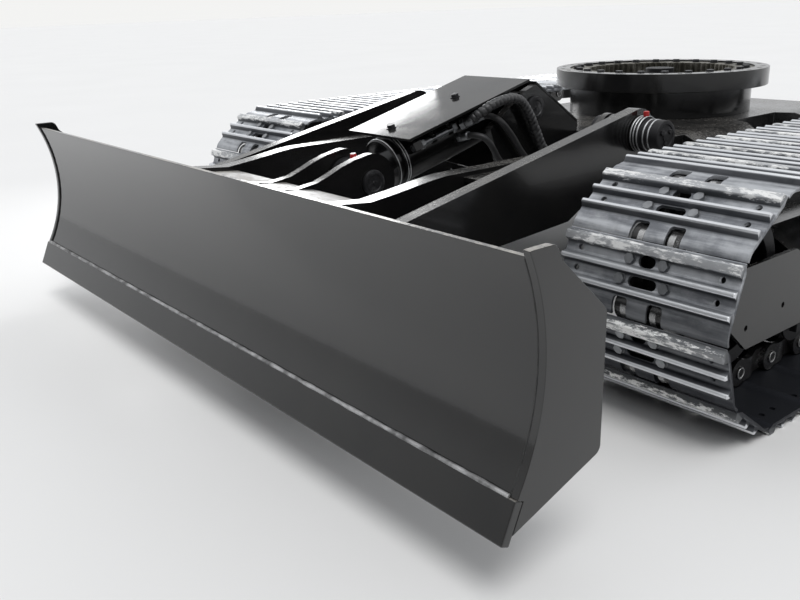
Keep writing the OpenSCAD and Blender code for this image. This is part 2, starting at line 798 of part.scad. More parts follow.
module rod_pin() {
    x = lug_gap_half + lug_t;
    color([0.45, 0.45, 0.46]) placed() {
        bar(cyl_pin_r, -x - 6, x, rod_pin_y, rod_pin_z);
        bar(pin_head_r, x, x + pin_head_t, rod_pin_y, rod_pin_z);
    }
}

module barrel_pin() {
    color([0.45, 0.45, 0.46]) placed() {
        bar(cyl_pin_r, -guard_half - 6, guard_half, barrel_pin_y, barrel_pin_z);
        bar(pin_head_r, guard_half, guard_half + pin_head_t, barrel_pin_y, barrel_pin_z);
    }
}

cap_r = 8;
cap_h = 14;

module grease_caps() {
    color([0.75, 0.06, 0.05]) placed() on_both()
        translate([arm_face + 20, pivot_y, pivot_z + pivot_ring_r]) cylinder(r = cap_r, h = cap_h);
}

// Hoses from the cylinder to the car body, each in an upright plane

// Radius, distance from the middle, then the route in Y and Z
hose_wall = body_front;
HOSES = [
    [15, 167, [[-46, 672], [-14, 684], [22, 692], [69, 697], [104, 691], [130, 672], [158, 635],
        [187, 585], [216, 536], [262, 494], [320, 480], [hose_wall, 480]]],
    [10, 163, [[30, 646], [56, 616], [83, 584], [132, 524], [200, 466], [270, 442], [330, 438],
        [hose_wall, 438]]],
    [10, 163, [[-25, 597], [-10, 575], [4, 554], [35, 512], [110, 446], [220, 412], [330, 404],
        [hose_wall, 404]]]];
hose_sides = 10;

function hose_tangent(route, i) =
    let (a = route[max(i - 1, 0)], b = route[min(i + 1, len(route) - 1)]) (b - a) / norm(b - a);

module hose(r, x, route) {
    n = len(route);
    points = [for (i = [0:n - 1], k = [0:hose_sides - 1])
        let (t = hose_tangent(route, i), a = k * 360 / hose_sides, s = r * sin(a))
        [x + r * cos(a), route[i].x - s * t.y, route[i].y + s * t.x]];
    walls = [for (i = [0:n - 2], k = [0:hose_sides - 1])
        let (a = i * hose_sides, j = (k + 1) % hose_sides)
        [a + k, a + hose_sides + k, a + hose_sides + j, a + j]];
    front = [for (k = [0:hose_sides - 1]) k];
    back = [for (k = [0:hose_sides - 1]) n * hose_sides - 1 - k];
    polyhedron(points, concat(walls, [front, back]));
}

module hoses() {
    color([0.05, 0.05, 0.05]) placed() for (h = HOSES) hose(h[0], h[1], h[2]);
}

// Lift cylinder

// Pipe: radius, distance from the barrel's middle line, turn about it, rear end
pipe_r = 9;
pipe_off = 92;
pipe_turn = 24;
pipe_rear = 250;
pipe_front = gland_at - 60;
port_l = 30;
port_h = 24;
rod_inner_end = 380;
nipple_turn = 100;

// Places its children with the cylinder's line along +X from the barrel pin
module along_cylinder() {
    placed() translate([0, barrel_pin_y, barrel_pin_z]) rotate([0, 0, -90])
        rotate([0, cyl_angle, 0]) children();
}

module lengthwise(r, s0, s1) {
    translate([s0, 0, 0]) rotate([0, 90, 0]) cylinder(r = r, h = s1 - s0);
}

module across(r, w) {
    translate([0, w / 2, 0]) rotate([90, 0, 0]) cylinder(r = r, h = w);
}

module cylinder_barrel() {
    color([0.09, 0.09, 0.10]) along_cylinder() difference() {
        union() {
            across(eye_r - 8, eye_w);
            // Rear cap, barrel, collar and gland in one turned shape
            rotate([0, 90, 0]) rotate_extrude() polygon([
                [0, 0], [eye_w / 2 - 6, 0], [eye_w / 2 - 6, 64], [barrel_r - 14, 84], [barrel_r, 96],
                [barrel_r, gland_at - 54], [barrel_r + 5, gland_at - 50], [barrel_r + 5, gland_at - 30],
                [barrel_r - 4, gland_at - 26], [barrel_r - 4, gland_at - 18],
                [barrel_r + 3, gland_at - 14], [barrel_r + 3, gland_at - 4], [barrel_r - 1, gland_at],
                [0, gland_at]]);
            // Seats of the guard plate
            for (s = guard_seats) translate([s - guard_seat_l / 2, -guard_seat_w / 2, 0])
                cube([guard_seat_l, guard_seat_w, guard_low]);
            // Pipe between two ports, on the upper outer side
            rotate([pipe_turn, 0, 0]) {
                translate([0, pipe_off, 0]) lengthwise(pipe_r, pipe_rear, pipe_front);
                for (s = [pipe_rear, pipe_front - port_l]) translate([s, 0, -port_h / 2])
                    cube([port_l, pipe_off + 13, port_h]);
            }
        }
        across(cyl_bore_r, eye_w + 2);
        lengthwise(rod_r + run_gap, rod_inner_end - 50, gland_at + 1);
    }
}

module cylinder_rod() {
    color([0.75, 0.76, 0.78]) along_cylinder() difference() {
        union() {
            lengthwise(rod_r, rod_inner_end, cyl_l - cyl_pin_r);
            translate([cyl_l, 0, 0]) across(eye_r, eye_w);
            // Grease nipple with its cap on the eye
            translate([cyl_l, 0, 0]) rotate([0, -nipple_turn, 0]) lengthwise(cap_r, eye_r - 4, eye_r + 16);
        }
        translate([cyl_l, 0, 0]) across(cyl_pin_r + open_play, eye_w + 2);
    }
}

center_frame();
pivot_lugs();
ring_seat();
inner_race();
turning_race();
swivel_joint();
nose_plates();
nose_cover();
guard_plate();
track_frame();  // track_frame_left
on_right() track_frame();  // track_frame_right
track_colour() track();  // track_left
on_right() track_colour() track();  // track_right
idler();  // idler_left
on_right() idler();  // idler_right
idler_yoke();  // idler_yoke_left
on_right() idler_yoke();  // idler_yoke_right
sprocket();  // sprocket_left
on_right() sprocket();  // sprocket_right
travel_motor();  // travel_motor_left
on_right() travel_motor();  // travel_motor_right
bottom_rollers();  // bottom_rollers_left
on_right() bottom_rollers();  // bottom_rollers_right
carrier_roller();  // carrier_roller_left
on_right() carrier_roller();  // carrier_roller_right
mouldboard();
cutting_edge();
end_plate();  // end_plate_left
on_right() end_plate();  // end_plate_right
back_box();
cylinder_lugs();
push_arm();  // push_arm_left
on_right() push_arm();  // push_arm_right
pivot_pins();
rod_pin();
barrel_pin();
grease_caps();
hoses();
cylinder_barrel();
cylinder_rod();
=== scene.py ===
import json
import math
import bpy
import bmesh
import numpy as np
from mathutils import Matrix, Vector


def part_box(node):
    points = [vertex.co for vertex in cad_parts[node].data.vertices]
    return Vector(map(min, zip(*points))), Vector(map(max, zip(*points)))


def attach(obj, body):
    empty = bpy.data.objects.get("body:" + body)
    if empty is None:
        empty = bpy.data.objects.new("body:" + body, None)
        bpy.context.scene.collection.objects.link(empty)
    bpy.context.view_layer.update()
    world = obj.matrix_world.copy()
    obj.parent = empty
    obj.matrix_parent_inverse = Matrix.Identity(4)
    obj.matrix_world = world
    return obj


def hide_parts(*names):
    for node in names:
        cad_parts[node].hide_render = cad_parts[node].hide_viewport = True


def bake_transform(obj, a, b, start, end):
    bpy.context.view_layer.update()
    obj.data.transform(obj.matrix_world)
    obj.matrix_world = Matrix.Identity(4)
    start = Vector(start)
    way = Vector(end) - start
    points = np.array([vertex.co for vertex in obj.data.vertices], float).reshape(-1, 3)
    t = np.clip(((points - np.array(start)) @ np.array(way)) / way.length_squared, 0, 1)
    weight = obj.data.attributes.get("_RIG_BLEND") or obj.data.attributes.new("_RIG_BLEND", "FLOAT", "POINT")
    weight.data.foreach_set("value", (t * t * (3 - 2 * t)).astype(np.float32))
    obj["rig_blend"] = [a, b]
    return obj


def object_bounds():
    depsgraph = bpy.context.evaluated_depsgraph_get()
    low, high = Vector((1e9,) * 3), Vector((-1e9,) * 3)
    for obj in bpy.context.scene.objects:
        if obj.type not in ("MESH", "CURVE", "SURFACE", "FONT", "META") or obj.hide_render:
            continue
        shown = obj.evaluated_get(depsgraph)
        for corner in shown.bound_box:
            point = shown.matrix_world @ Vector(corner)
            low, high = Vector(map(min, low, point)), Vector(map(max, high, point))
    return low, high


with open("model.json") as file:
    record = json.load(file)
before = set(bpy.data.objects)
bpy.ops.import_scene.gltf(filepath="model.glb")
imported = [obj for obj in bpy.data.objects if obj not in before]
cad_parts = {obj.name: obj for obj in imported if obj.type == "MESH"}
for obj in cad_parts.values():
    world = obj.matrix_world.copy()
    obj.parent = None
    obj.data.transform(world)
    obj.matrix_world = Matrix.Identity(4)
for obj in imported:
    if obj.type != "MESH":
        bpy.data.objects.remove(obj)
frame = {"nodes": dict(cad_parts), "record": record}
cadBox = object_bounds()
print("stage: frame loaded")

# Lengths below are in metres, with y counted from the idler axle. The frame's origin lies in the
# middle of the part, so every piece is shifted by the distance between the two.
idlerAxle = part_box("idler_left")
idlerY = (idlerAxle[0][1] + idlerAxle[1][1]) / 2
shift = np.array([0.0, idlerY, 0.0])


# Shader arithmetic

# A socket that takes part in arithmetic: each operator adds one Math node
class Wire:
    def __init__(self, finish, socket):
        self.finish = finish
        self.socket = socket

    def math(self, operation, *others, clamp=False):
        values = [self.socket] + [o.socket if isinstance(o, Wire) else o for o in others]
        return self.finish.add("ShaderNodeMath", {"operation": operation, "use_clamp": clamp},
                               dict(enumerate(values)))

    def __add__(self, other):
        return self.math("ADD", other)

    def __radd__(self, other):
        return self.math("ADD", other)

    def __sub__(self, other):
        return self.math("SUBTRACT", other)

    def __rsub__(self, other):
        return self.math("MULTIPLY", -1.0) + other

    def __mul__(self, other):
        return self.math("MULTIPLY", other)

    def __rmul__(self, other):
        return self.math("MULTIPLY", other)

    # Held between 0 and 1
    def clip(self):
        return self.math("ADD", 0.0, clamp=True)

    # 0 below low, 1 above high, smooth between
    def step(self, low, high):
        return self.finish.add("ShaderNodeMapRange", {"interpolation_type": "SMOOTHSTEP"},
                               {0: self.socket, 1: low, 2: high, 3: 0.0, 4: 1.0})


# Nodes of one material, or of the world: every node but the shader comes from add
class Finish:
    def __init__(self, name, owner=None, shader="Principled BSDF", place="Object"):
        self.material = owner or bpy.data.materials.new(name)
        self.material.use_nodes = True
        self.tree = self.material.node_tree
        self.shader = self.tree.nodes[shader]
        self.place = self.add("ShaderNodeTexCoord", {}, {}, place)

    # One node: its type, its settings, the values or links of its sockets and the output wanted
    def add(self, kind, settings, values, out=0):
        node = self.tree.nodes.new(kind)
        for key, value in settings.items():
            setattr(node, key, value)
        for key, value in values.items():
            self.join(node.inputs[key], value)
        return Wire(self, node.outputs[out])

    # Links a socket or sets its constant; one number fills a whole colour or vector
    def join(self, socket, value):
        if isinstance(value, Wire):
            value = value.socket
        if isinstance(value, bpy.types.NodeSocket):
            self.tree.links.new(value, socket)
        elif hasattr(socket.default_value, "__len__") and not hasattr(value, "__len__"):
            socket.default_value = [value] * len(socket.default_value)
        else:
            socket.default_value = value

    # Cloudy pattern from 0 to 1, with about scale cells to a metre, times stretch along each axis
    def noise(self, scale, detail, rough, stretch=None):
        place = self.place
        if stretch:
            place = self.add("ShaderNodeMapping", {}, {"Vector": place, "Scale": stretch}, "Vector")
        return self.add("ShaderNodeTexNoise", {},
                        {"Vector": place, "Scale": scale, "Detail": detail, "Roughness": rough},
                        "Fac")

    # Vertex value of a mesh attribute
    def worn(self, name):
        return self.add("ShaderNodeAttribute", {"attribute_name": name}, {}, "Fac")

    # How far a surface faces upwards, from -1 to 1
    def upward(self):
        normal = self.add("ShaderNodeNewGeometry", {}, {}, "Normal")
        return self.add("ShaderNodeSeparateXYZ", {}, {0: normal}, 2)

    # Colour mix: first where the mask is 0, second where it is 1
    def blend(self, mask, first, second):
        def colour(c):
            return (*c, 1.0) if isinstance(c, tuple) else c
        return self.add("ShaderNodeMix", {"data_type": "RGBA"},
                        {0: mask, 6: colour(first), 7: colour(second)}, 2)

    # Normal bent by a height field that stands distance high
    def bump(self, height, distance, strength):
        return self.add("ShaderNodeBump", {},
                        {"Strength": strength, "Distance": distance, "Height": height}, 0)

    # Sockets of the shader by name, with an underscore for each space
    def set(self, **values):
        for key, value in values.items():
            self.join(self.shader.inputs[key.replace("_", " ")],
                      (*value, 1.0) if isinstance(value, tuple) and len(value) == 3 else value)
        return self.material


# Black paint: near black, slightly uneven gloss, fine orange peel, dust on what faces up. Dust is a
# step of how far the surface faces up times a step of two noises
def paintFinish(name, tone, gloss, dust, coat, mirror):
    f = Finish(name)
    cloud = f.noise(6.0, 5.0, 0.6)
    speck = f.noise(90.0, 4.0, 0.7)
    settled = f.upward().step(0.6, 0.97) * (cloud * 0.7 + speck * 0.7).step(0.55, 0.95)
    settled = (settled * dust).clip()
    deep, pale, dustTone = (0.8, 0.8, 0.85), (1.3, 1.28, 1.25), (0.33, 0.31, 0.28)
    shade = f.blend(cloud.step(0.3, 0.7), tuple(tone * k for k in deep), tuple(tone * k for k in pale))
    rough = gloss + cloud * 0.05 + speck * 0.04 + settled * 0.45
    peel = f.noise(220.0, 2.0, 0.5)
    waves = f.noise(14.0, 2.0, 0.4)
    return f.set(Base_Color=f.blend(settled, shade, dustTone), Roughness=rough, Metallic=0.0,
                 Specular_IOR_Level=mirror, Coat_Weight=coat,
                 Normal=f.bump(peel * 0.15 + waves, 0.0006, 0.35))


# Colours of the shoes' steel (the dark one is grime plus painted shade), and the heights between which the
# painted shade of the lowest shoes ends
shoeSkin = {
    "dull": (0.21, 0.22, 0.24), "bright": (0.72, 0.74, 0.77), "grime": (0.026, 0.028, 0.034),
    "bare": (0.72, 0.735, 0.76), "wide": (0.12, 0.125, 0.13), "scuffed": (0.84, 0.84, 0.83),
    "rust": (0.15, 0.11, 0.075), "grimeEnds": (0.14, 0.48),
}


# Shoe steel: scraped bright on the grousers' tips, grey between them, dark on their leading faces,
# feet and undersides from grime plus painted shade, and darker on the lowest shoes as painted shade;
# the wide grouser is scuffed white in patches. Each mask is a step of the shoe's own wear, grime and
# painted shade values plus noise; the painted shade of the lowest shoes is a step of height
def shoeFinish():
    f = Finish("shoeSteel")
    # The second vertex value is grime plus painted shade on the grousers' leading faces, feet and undersides
    worn, grimed, scuffed = f.worn("worn"), f.worn("grimed"), f.worn("scuffed")
    cloud = f.noise(7.0, 6.0, 0.65)
    scrape = f.noise(50.0, 4.0, 0.6, (0.1, 1.0, 1.0))
    grit = f.noise(420.0, 3.0, 0.7)
    chips = f.noise(110.0, 5.0, 0.72, (0.3, 1.0, 1.0))
    streaks = (cloud * 0.6 + scrape * 0.4).step(0.38, 0.62)
    base = f.blend(streaks, shoeSkin["dull"], shoeSkin["bright"])
    # Painted shade: the lower a place lies between the two heights, the darker the shoe
    low = 1 - f.add("ShaderNodeSeparateXYZ", {}, {0: f.place}, 2).step(*shoeSkin["grimeEnds"])
    # Dark mask: grime plus painted shade from the vertex values, painted shade of the lowest shoes, and
    # noise
    dark = (grimed * 0.95 + low * 0.74 + (cloud - 0.5) * 0.7).clip()
    colour = f.blend(dark, base, shoeSkin["grime"])
    bare = (worn * 1.3 + (scrape - 0.5) * 0.7 - scuffed * 0.55).step(0.35, 0.8)
    colour = f.blend(bare, colour, shoeSkin["bare"])
    scuff = scuffed.step(0.05, 0.3)
    # On the lowest shoes the wide grouser is darker and has fewer white patches: painted shade
    colour = f.blend(scuff * (0.45 + low * 0.4), colour, shoeSkin["wide"])
    patch = scuffed * 0.6 + (cloud - 0.5) * 2.0 + (chips - 0.5) * 2.2 - low * 0.10
    patch = patch.step(0.46, 0.76) * scuff
    colour = f.blend(patch, colour, shoeSkin["scuffed"])
    rust = (f.noise(23.0, 5.0, 0.7).step(0.64, 0.8) * (1 - bare) * 0.22).clip()
    colour = f.blend(rust, colour, shoeSkin["rust"])
    rough = 0.34 + (1 - bare) * 0.14 + grit * 0.12 + patch * 0.15
    return f.set(Base_Color=colour, Roughness=rough, Metallic=0.82 - patch * 0.4,
                 Normal=f.bump(scrape * 0.5 + grit * 0.25 + chips * scuffed * 1.2, 0.0009, 0.5))


# Cast or forged steel under thin black paint, with bare metal where it runs on other steel: a larger
# amount lowers the step above which the noise is bare. Marked steel is greasy and has its own wear
def castFinish(name, dark, bright, amount, metal=0.6, marked=False):
    f = Finish(name)
    cloud = f.noise(14.0, 5.0, 0.6)
    grain = f.noise(260.0, 4.0, 0.7)
    bare = (cloud * 0.8 + grain * 0.35).step(0.66 - amount * 0.4, 0.9 - amount * 0.4)
    if marked:
        bare = (bare + (f.worn("worn") * 1.3 + (grain - 0.5) * 0.6).step(0.3, 0.9)).clip()
    colour = f.blend(bare, dark, bright)
    greasy = 0.6 if marked else 0.0
    rough = (0.42 - greasy * 0.3) + grain * 0.25 - bare * 0.12
    return f.set(Base_Color=colour, Roughness=rough, Metallic=metal, Coat_Weight=greasy,
                 Normal=f.bump(grain + cloud * greasy * 4.0, 0.0009 + greasy * 0.001, 0.6))


# Rubber, plastic, plating or plain paint: its colour times 0.8 to 1.15, with a fine grain
def plainFinish(name, colour, rough, metal=0.0):
    f = Finish(name)
    cloud = f.noise(30.0, 4.0, 0.6)
    fine = f.noise(300.0, 3.0, 0.6)
    dark, pale = [tuple(c * k for c in colour) for k in (0.8, 1.15)]
    return f.set(Base_Color=f.blend(cloud.step(0.3, 0.7), dark, pale), Roughness=rough + fine * 0.12,
                 Metallic=metal, Normal=f.bump(fine, 0.0003, 0.5))


# Weld bead under thin paint: from a fifth of its brightness to the whole of it. A high brightness is a
# painted highlight on the bead
def weldFinish(name, bright):
    f = Finish(name)
    cloud = f.noise(24.0, 4.0, 0.6)
    colour = f.blend(cloud.step(0.30, 0.62), (bright * 0.2,) * 3, (bright,) * 3)
    return f.set(Base_Color=colour, Roughness=0.34 + cloud * 0.2, Metallic=0.4,
                 Normal=f.bump(f.noise(300.0, 2.0, 0.5), 0.0005, 0.5))


# Piston rod: polished chrome up to its eye, which is painted. The place along the rod is the product
# of the rod's direction and the distance from the eye's pin
def rodFinish(pin, direction, reach):
    f = Finish("rodChrome")
    y, z = [f.add("ShaderNodeSeparateXYZ", {}, {0: f.place}, k) for k in (1, 2)]
    along = (y - pin[1]) * direction[1] + (z - pin[2]) * direction[2]
    eye = along.step(-reach - 0.001, -reach + 0.001)
    fine = f.noise(700.0, 2.0, 0.5)
    cloud = f.noise(14.0, 4.0, 0.6)
    chrome, eyeDark, eyePale = (0.74, 0.75, 0.77), (0.012, 0.012, 0.013), (0.024, 0.024, 0.025)
    colour = f.blend(eye, chrome, f.blend(cloud.step(0.4, 0.7), eyeDark, eyePale))
    return f.set(Base_Color=colour, Roughness=0.07 + eye * (0.13 + cloud * 0.08) + fine * 0.02,
                 Metallic=1 - eye, Normal=f.bump(fine * (0.1 + eye), 0.0002, 0.4))


# Name: brightness of the paint, its roughness, the dust on what faces up, its clear coat and how
# much it mirrors
paint = {"bladePaint": (0.007, 0.06, 1.4, 0.2, 0.60), "framePaint": (0.009, 0.15, 0.26, 0.1, 0.42),
         "guardPaint": (0.014, 0.05, 0.03, 0.0, 0.24), "shelfPaint": (0.065, 0.30, 1.1, 0.1, 0.5)}
bladePaint, framePaint, guardPaint, shelfPaint = [paintFinish(n, *v) for n, v in paint.items()]
shoeSteel = shoeFinish()
chainSteel = castFinish("chainSteel", (0.022, 0.021, 0.021), (0.46, 0.46, 0.46), 0.16, 0.5, True)
castSteel = castFinish("castSteel", (0.020, 0.020, 0.022), (0.16, 0.16, 0.16), 0.1)
gearSteel = castFinish("gearSteel", (0.09, 0.085, 0.07), (0.30, 0.29, 0.26), 0.4, 0.85)
pinSteel = castFinish("pinSteel", (0.018, 0.018, 0.020), (0.16, 0.16, 0.165), 0.12, 0.5)
boltZinc = plainFinish("boltZinc", (0.26, 0.268, 0.28), 0.30, 0.85)
boltBlack = plainFinish("boltBlack", (0.035, 0.035, 0.038), 0.32, 0.5)
hoseRubber = plainFinish("hoseRubber", (0.022, 0.022, 0.023), 0.45)
spiralGuard = plainFinish("spiralGuard", (0.05, 0.05, 0.052), 0.35)
redPlastic = plainFinish("redPlastic", (0.46, 0.02, 0.02), 0.4)
# Bright bead along the mouldboard's low edge: a painted highlight
weldBead = weldFinish("weldBead", 0.46)
paintedBead = weldFinish("paintedBead", 0.035)
# Bright ring steel: bare steel plus a painted highlight, for the gland and pivot rings
bareEdge = castFinish("bareEdge", (0.10, 0.10, 0.105), (0.62, 0.63, 0.64), 0.75, 0.8)
print("stage: materials")


# Mesh tools

# New object of a mesh, a lamp or a camera, put into the scene
def newObject(name, data):
    made = bpy.data.objects.new(name, data)
    bpy.context.scene.collection.objects.link(made)
    return made


# Piece from points and faces, which are moved into the frame
def addPiece(name, points, faces, material, body, replaces=(), smooth=30.0, bevel=0.0,
             marks=None):
    mesh = bpy.data.meshes.new(name)
    points = np.asarray(points, float) + shift
    mesh.from_pydata(points.tolist(), [], [list(map(int, f)) for f in faces])
    mesh.validate()
    return finishPiece(name, mesh, material, body, replaces, smooth, bevel, marks)


# Object of a mesh: material, values of wear, grime and painted shade at its vertices, edges sharp
# above an angle, edges rounded by a bevel, the body that it rides on and the nodes that it stands for
def finishPiece(name, mesh, material, body, replaces=(), smooth=30.0, bevel=0.0,
                marks=None):
    mesh.materials.clear()
    mesh.materials.append(material)
    for key, values in (marks or {}).items():
        mesh.attributes.new(key, "FLOAT", "POINT").data.foreach_set("value", np.ascontiguousarray(values))
    mesh.shade_smooth()
    mesh.set_sharp_from_angle(angle=math.radians(smooth))
    piece = newObject(name, mesh)
    if bevel:
        edge = piece.modifiers.new("bevel", "BEVEL")
        edge.width = bevel
        edge.segments = 2
        edge.limit_method = "ANGLE"
        edge.angle_limit = math.radians(35)
        edge.harden_normals = True
    if body:
        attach(piece, body)
    if replaces:
        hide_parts(*replaces)
    return piece


# Body of each node, as the record has it
bodyOf = {n: b for b, ns in frame["record"]["behaviour"]["bodies"].items() for n in ns}


# A node's solid with merged points, flat faces joined and its edges rounded
def dressNode(node, material, bevel):
    mesh = frame["nodes"][node].data.copy()
    mesh.name = "dressed_" + node
    old = [a.name for a in mesh.attributes if a.name.startswith("custom") or "normal" in a.name]
    for attribute in old:
        mesh.attributes.remove(mesh.attributes[attribute])
    solid = bmesh.new()
    solid.from_mesh(mesh)
    bmesh.ops.remove_doubles(solid, verts=solid.verts, dist=1e-5)
    bmesh.ops.dissolve_limit(solid, angle_limit=math.radians(0.5), verts=solid.verts,
                             edges=solid.edges)
    solid.to_mesh(mesh)
    solid.free()
    finishPiece("dressed_" + node, mesh, material, bodyOf[node], (node,), bevel=bevel)


# Faces of a grid of points: (i, j), (i, j + 1), (i + 1, j + 1), (i + 1, j). They point outwards where
# rows follow one another along +X and columns turn from +Y to +Z
def gridFaces(rows, columns, closeRows, closeColumns):
    i = np.arange(rows if closeRows else rows - 1)
    j = np.arange(columns if closeColumns else columns - 1)
    a, b = np.meshgrid(i, j, indexing="ij")
    c, d = (a + 1) % rows, (b + 1) % columns
    return np.stack([a * columns + b, a * columns + d, c * columns + d, c * columns + b],
                    -1).reshape(-1, 4)


# Faces of a grid whose columns close, with a flat face at each end
def closedFaces(rows, columns):
    ends = [list(range(columns))[::-1], [(rows - 1) * columns + k for k in range(columns)]]
    return gridFaces(rows, columns, False, True).tolist() + ends


# Angles of a circle's corners
def roundAngles(corners):
    return np.linspace(0, 2 * np.pi, corners, endpoint=False)


# Vectors in rows, each one brought to the length of 1
def unit(vectors):
    return vectors / np.linalg.norm(vectors, axis=1)[:, None]


# Copies of one small mesh: each copy is turned by a 3x3 matrix and moved
def copies(points, faces, turns, places):
    many = np.einsum("nij,pj->npi", turns, points) + np.asarray(places)[:, None, :]
    offset = np.arange(len(places)) * len(points)
    allFaces = [[v + o for v in f] for o in offset for f in faces]
    return many.reshape(-1, 3), allFaces


# Points of a profile of (along, radius) spun about +X by y = radius cos a, z = radius sin a
def spin(profile, sides):
    a = roundAngles(sides)
    along, ring = profile[:, :1] + 0 * a, profile[:, 1:]
    return np.stack([along, ring * np.cos(a), ring * np.sin(a)], -1).reshape(-1, 3)


# Turned solid: a spun profile with a flat face at each end
def turned(profile, sides):
    middle = 0.0001  # radius of the small face that closes each end
    profile = np.array([(profile[0][0], middle), *profile, (profile[-1][0], middle)], float)
    return spin(profile, sides), closedFaces(len(profile), sides)


# Hexagon head with a chamfered top, standing along +X from 0, on a washer where its radius is given.
# At an angle b from the middle of a side the hexagon's radius is its corner's times cos 30 / cos b
def hexHead(across, height, washer=0.0):
    corner = across / math.sqrt(3)
    a = np.radians(np.arange(6) * 60)
    rings = [(0.0, np.full(6, corner)), (height * 0.85, np.full(6, corner)),
             (height, np.full(6, corner * 0.86))]
    if washer:
        a = np.radians(10 + np.arange(18) * 20)
        b = (a + np.radians(30)) % np.radians(60) - np.radians(30)
        hexagon = corner * np.cos(np.radians(30)) / np.cos(b)
        rings = [(0.0, np.full(18, washer)), (height * 0.2, np.full(18, washer)),
                 (height * 0.2, np.full(18, corner * 0.9)), (height * 0.2, hexagon),
                 (height * 0.88, hexagon), (height, np.minimum(hexagon, corner * 0.93) * 0.97)]
    points = np.concatenate([np.stack([np.full(len(a), x), q * np.cos(a), q * np.sin(a)], -1)
                             for x, q in rings])
    return points, closedFaces(len(rings), len(a))


# The turn that carries +X onto a direction
def towards(direction):
    return np.array(Vector((1, 0, 0)).rotation_difference(Vector(direction)).to_matrix())


# Hexagon heads at some places, all turned one way
def boltSet(name, places, direction, across, height, material, body, washer=0.0):
    base, faces = hexHead(across, height, washer)
    turn = towards(direction)
    points, faces = copies(base, faces, [turn] * len(places), places)
    addPiece(name, points, faces, material, body, smooth=25.0)


# Round cord about a line: each ring is radius times (side cos a + other sin a)
def cord(line, along, side, radius, sides):
    other = np.cross(along, side)
    a = roundAngles(sides)[:, None]
    ring = np.cos(a) * side[:, None, :] + np.sin(a) * other[:, None, :]
    points = line[:, None, :] + radius[..., None] * ring
    return points.reshape(-1, 3), closedFaces(len(line), sides)


# Hose along a route, smoothed by a Catmull-Rom curve, with its side carried along without twist.
# Ripple swells it in a spiral of a pitch, a depth and a share of the pitch.
def tube(name, route, radius, material, ripple, dense, sides):
    route = np.asarray(route, float)
    ends = np.vstack([2 * route[0] - route[1], route, 2 * route[-1] - route[-2]])
    t = np.linspace(0, 1, dense, endpoint=False)[:, None]
    line = []
    for a, b, c, d in zip(ends[:-3], ends[1:-2], ends[2:-1], ends[3:]):
        line.append(0.5 * (2 * b + (c - a) * t + (2 * a - 5 * b + 4 * c - d) * t ** 2
                           + (3 * b - a - 3 * c + d) * t ** 3))
    line = np.vstack(line + [route[-1:]])
    along = unit(np.gradient(line, axis=0))
    side = np.zeros_like(along)
    guide = np.array([1.0, 0.0, 0.0])
    for i, d in enumerate(along):
        guide = guide - d * (guide @ d)
        guide /= np.linalg.norm(guide)
        side[i] = guide
    r = np.full((len(line), sides), radius)
    if ripple:
        pitch, depth, width = ripple
        length = np.concatenate([[0], np.cumsum(np.linalg.norm(np.diff(line, axis=0), axis=1))])
        phase = (length[:, None] / pitch - roundAngles(sides) / (2 * np.pi)) % 1.0
        r = r + depth * (phase < width)
    points, faces = cord(line, along, side, r, sides)
    return addPiece(name, points, faces, material, None, ("hoses",), smooth=50.0)


# Tracks

# Grousers: place along the shoe, half width of root and of tip. Bolt rows: place and half distance
# apart. Mud holes, one in each bolt row: half width and half length
track = {
    "gauge": 1.800, "shoeWidth": 0.450, "pitch": 0.154, "runShoes": 15,
    "pinToPlate": 0.037, "plate": 0.009, "grouser": 0.018, "perTurn": 10,
    "grousers": ((0.031, 0.0105, 0.0042), (0.080, 0.0105, 0.0042), (0.1295, 0.0150, 0.0098)),
    "boltRows": ((0.0555, 0.058), (0.1045, 0.044)), "boltAcross": 0.023, "boltHeight": 0.0085,
    "boltWasher": 0.0150, "boltSink": 0.0004, "mudHoles": ((0.037, 0.012), (0.022, 0.014)),
    "holeInset": 0.042, "holeRadius": 0.0075, "lipRadius": 0.0435, "lipThickness": 0.006,
    "lipSweep": 42, "lipRoom": 0.0018, "notch": 0.046, "notchHalf": 0.020, "notchEnd": 0.0155,
    "notchRounding": 0.009, "endChamfer": 0.0018,
}
chain = {
    "inner": 0.0395, "thickness": 0.0155, "crank": 0.0078, "crankLength": 0.018,
    "bossRadius": 0.0365, "waist": 0.0290, "tipHalf": 0.004, "pinRadius": 0.0165,
    "pinHalf": 0.0662, "bushRadius": 0.0255, "bushHalf": 0.034, "wearFrom": 0.030,
    "wearOver": 0.006,
}
stepAngle = math.radians(360 / track["perTurn"])
pinCircle = track["pitch"] / 2 / math.sin(stepAngle / 2)
flatRadius = pinCircle * math.cos(stepAngle / 2)
tipHeight = track["pinToPlate"] + track["plate"] + track["grouser"]
wheelZ = flatRadius + tipHeight
tumblers = (track["runShoes"] - 1) * track["pitch"]
trackX = track["gauge"] / 2
bothSides = (("left", 1), ("right", -1))


# Chain pins in order: top run from front to rear, sprocket, bottom run, idler. The runs are spaced by
# the pitch, and the turns stand on the pin circle at equal angles
def chainPins():
    p = track["pitch"]
    run = np.arange(track["runShoes"])
    top = np.stack([-p / 2 + run * p, np.full(len(run), wheelZ + flatRadius)], -1)
    low = np.stack([tumblers + p / 2 - run * p, np.full(len(run), wheelZ - flatRadius)], -1)
    k = np.arange(track["perTurn"] // 2 - 1) + 0.5
    rear = np.radians(90) - stepAngle * k
    front = np.radians(270) - stepAngle * k
    rearPins = np.stack([tumblers + pinCircle * np.cos(rear), wheelZ + pinCircle * np.sin(rear)], -1)
    frontPins = np.stack([pinCircle * np.cos(front), wheelZ + pinCircle * np.sin(front)], -1)
    return np.vstack([top, rearPins, low, frontPins])


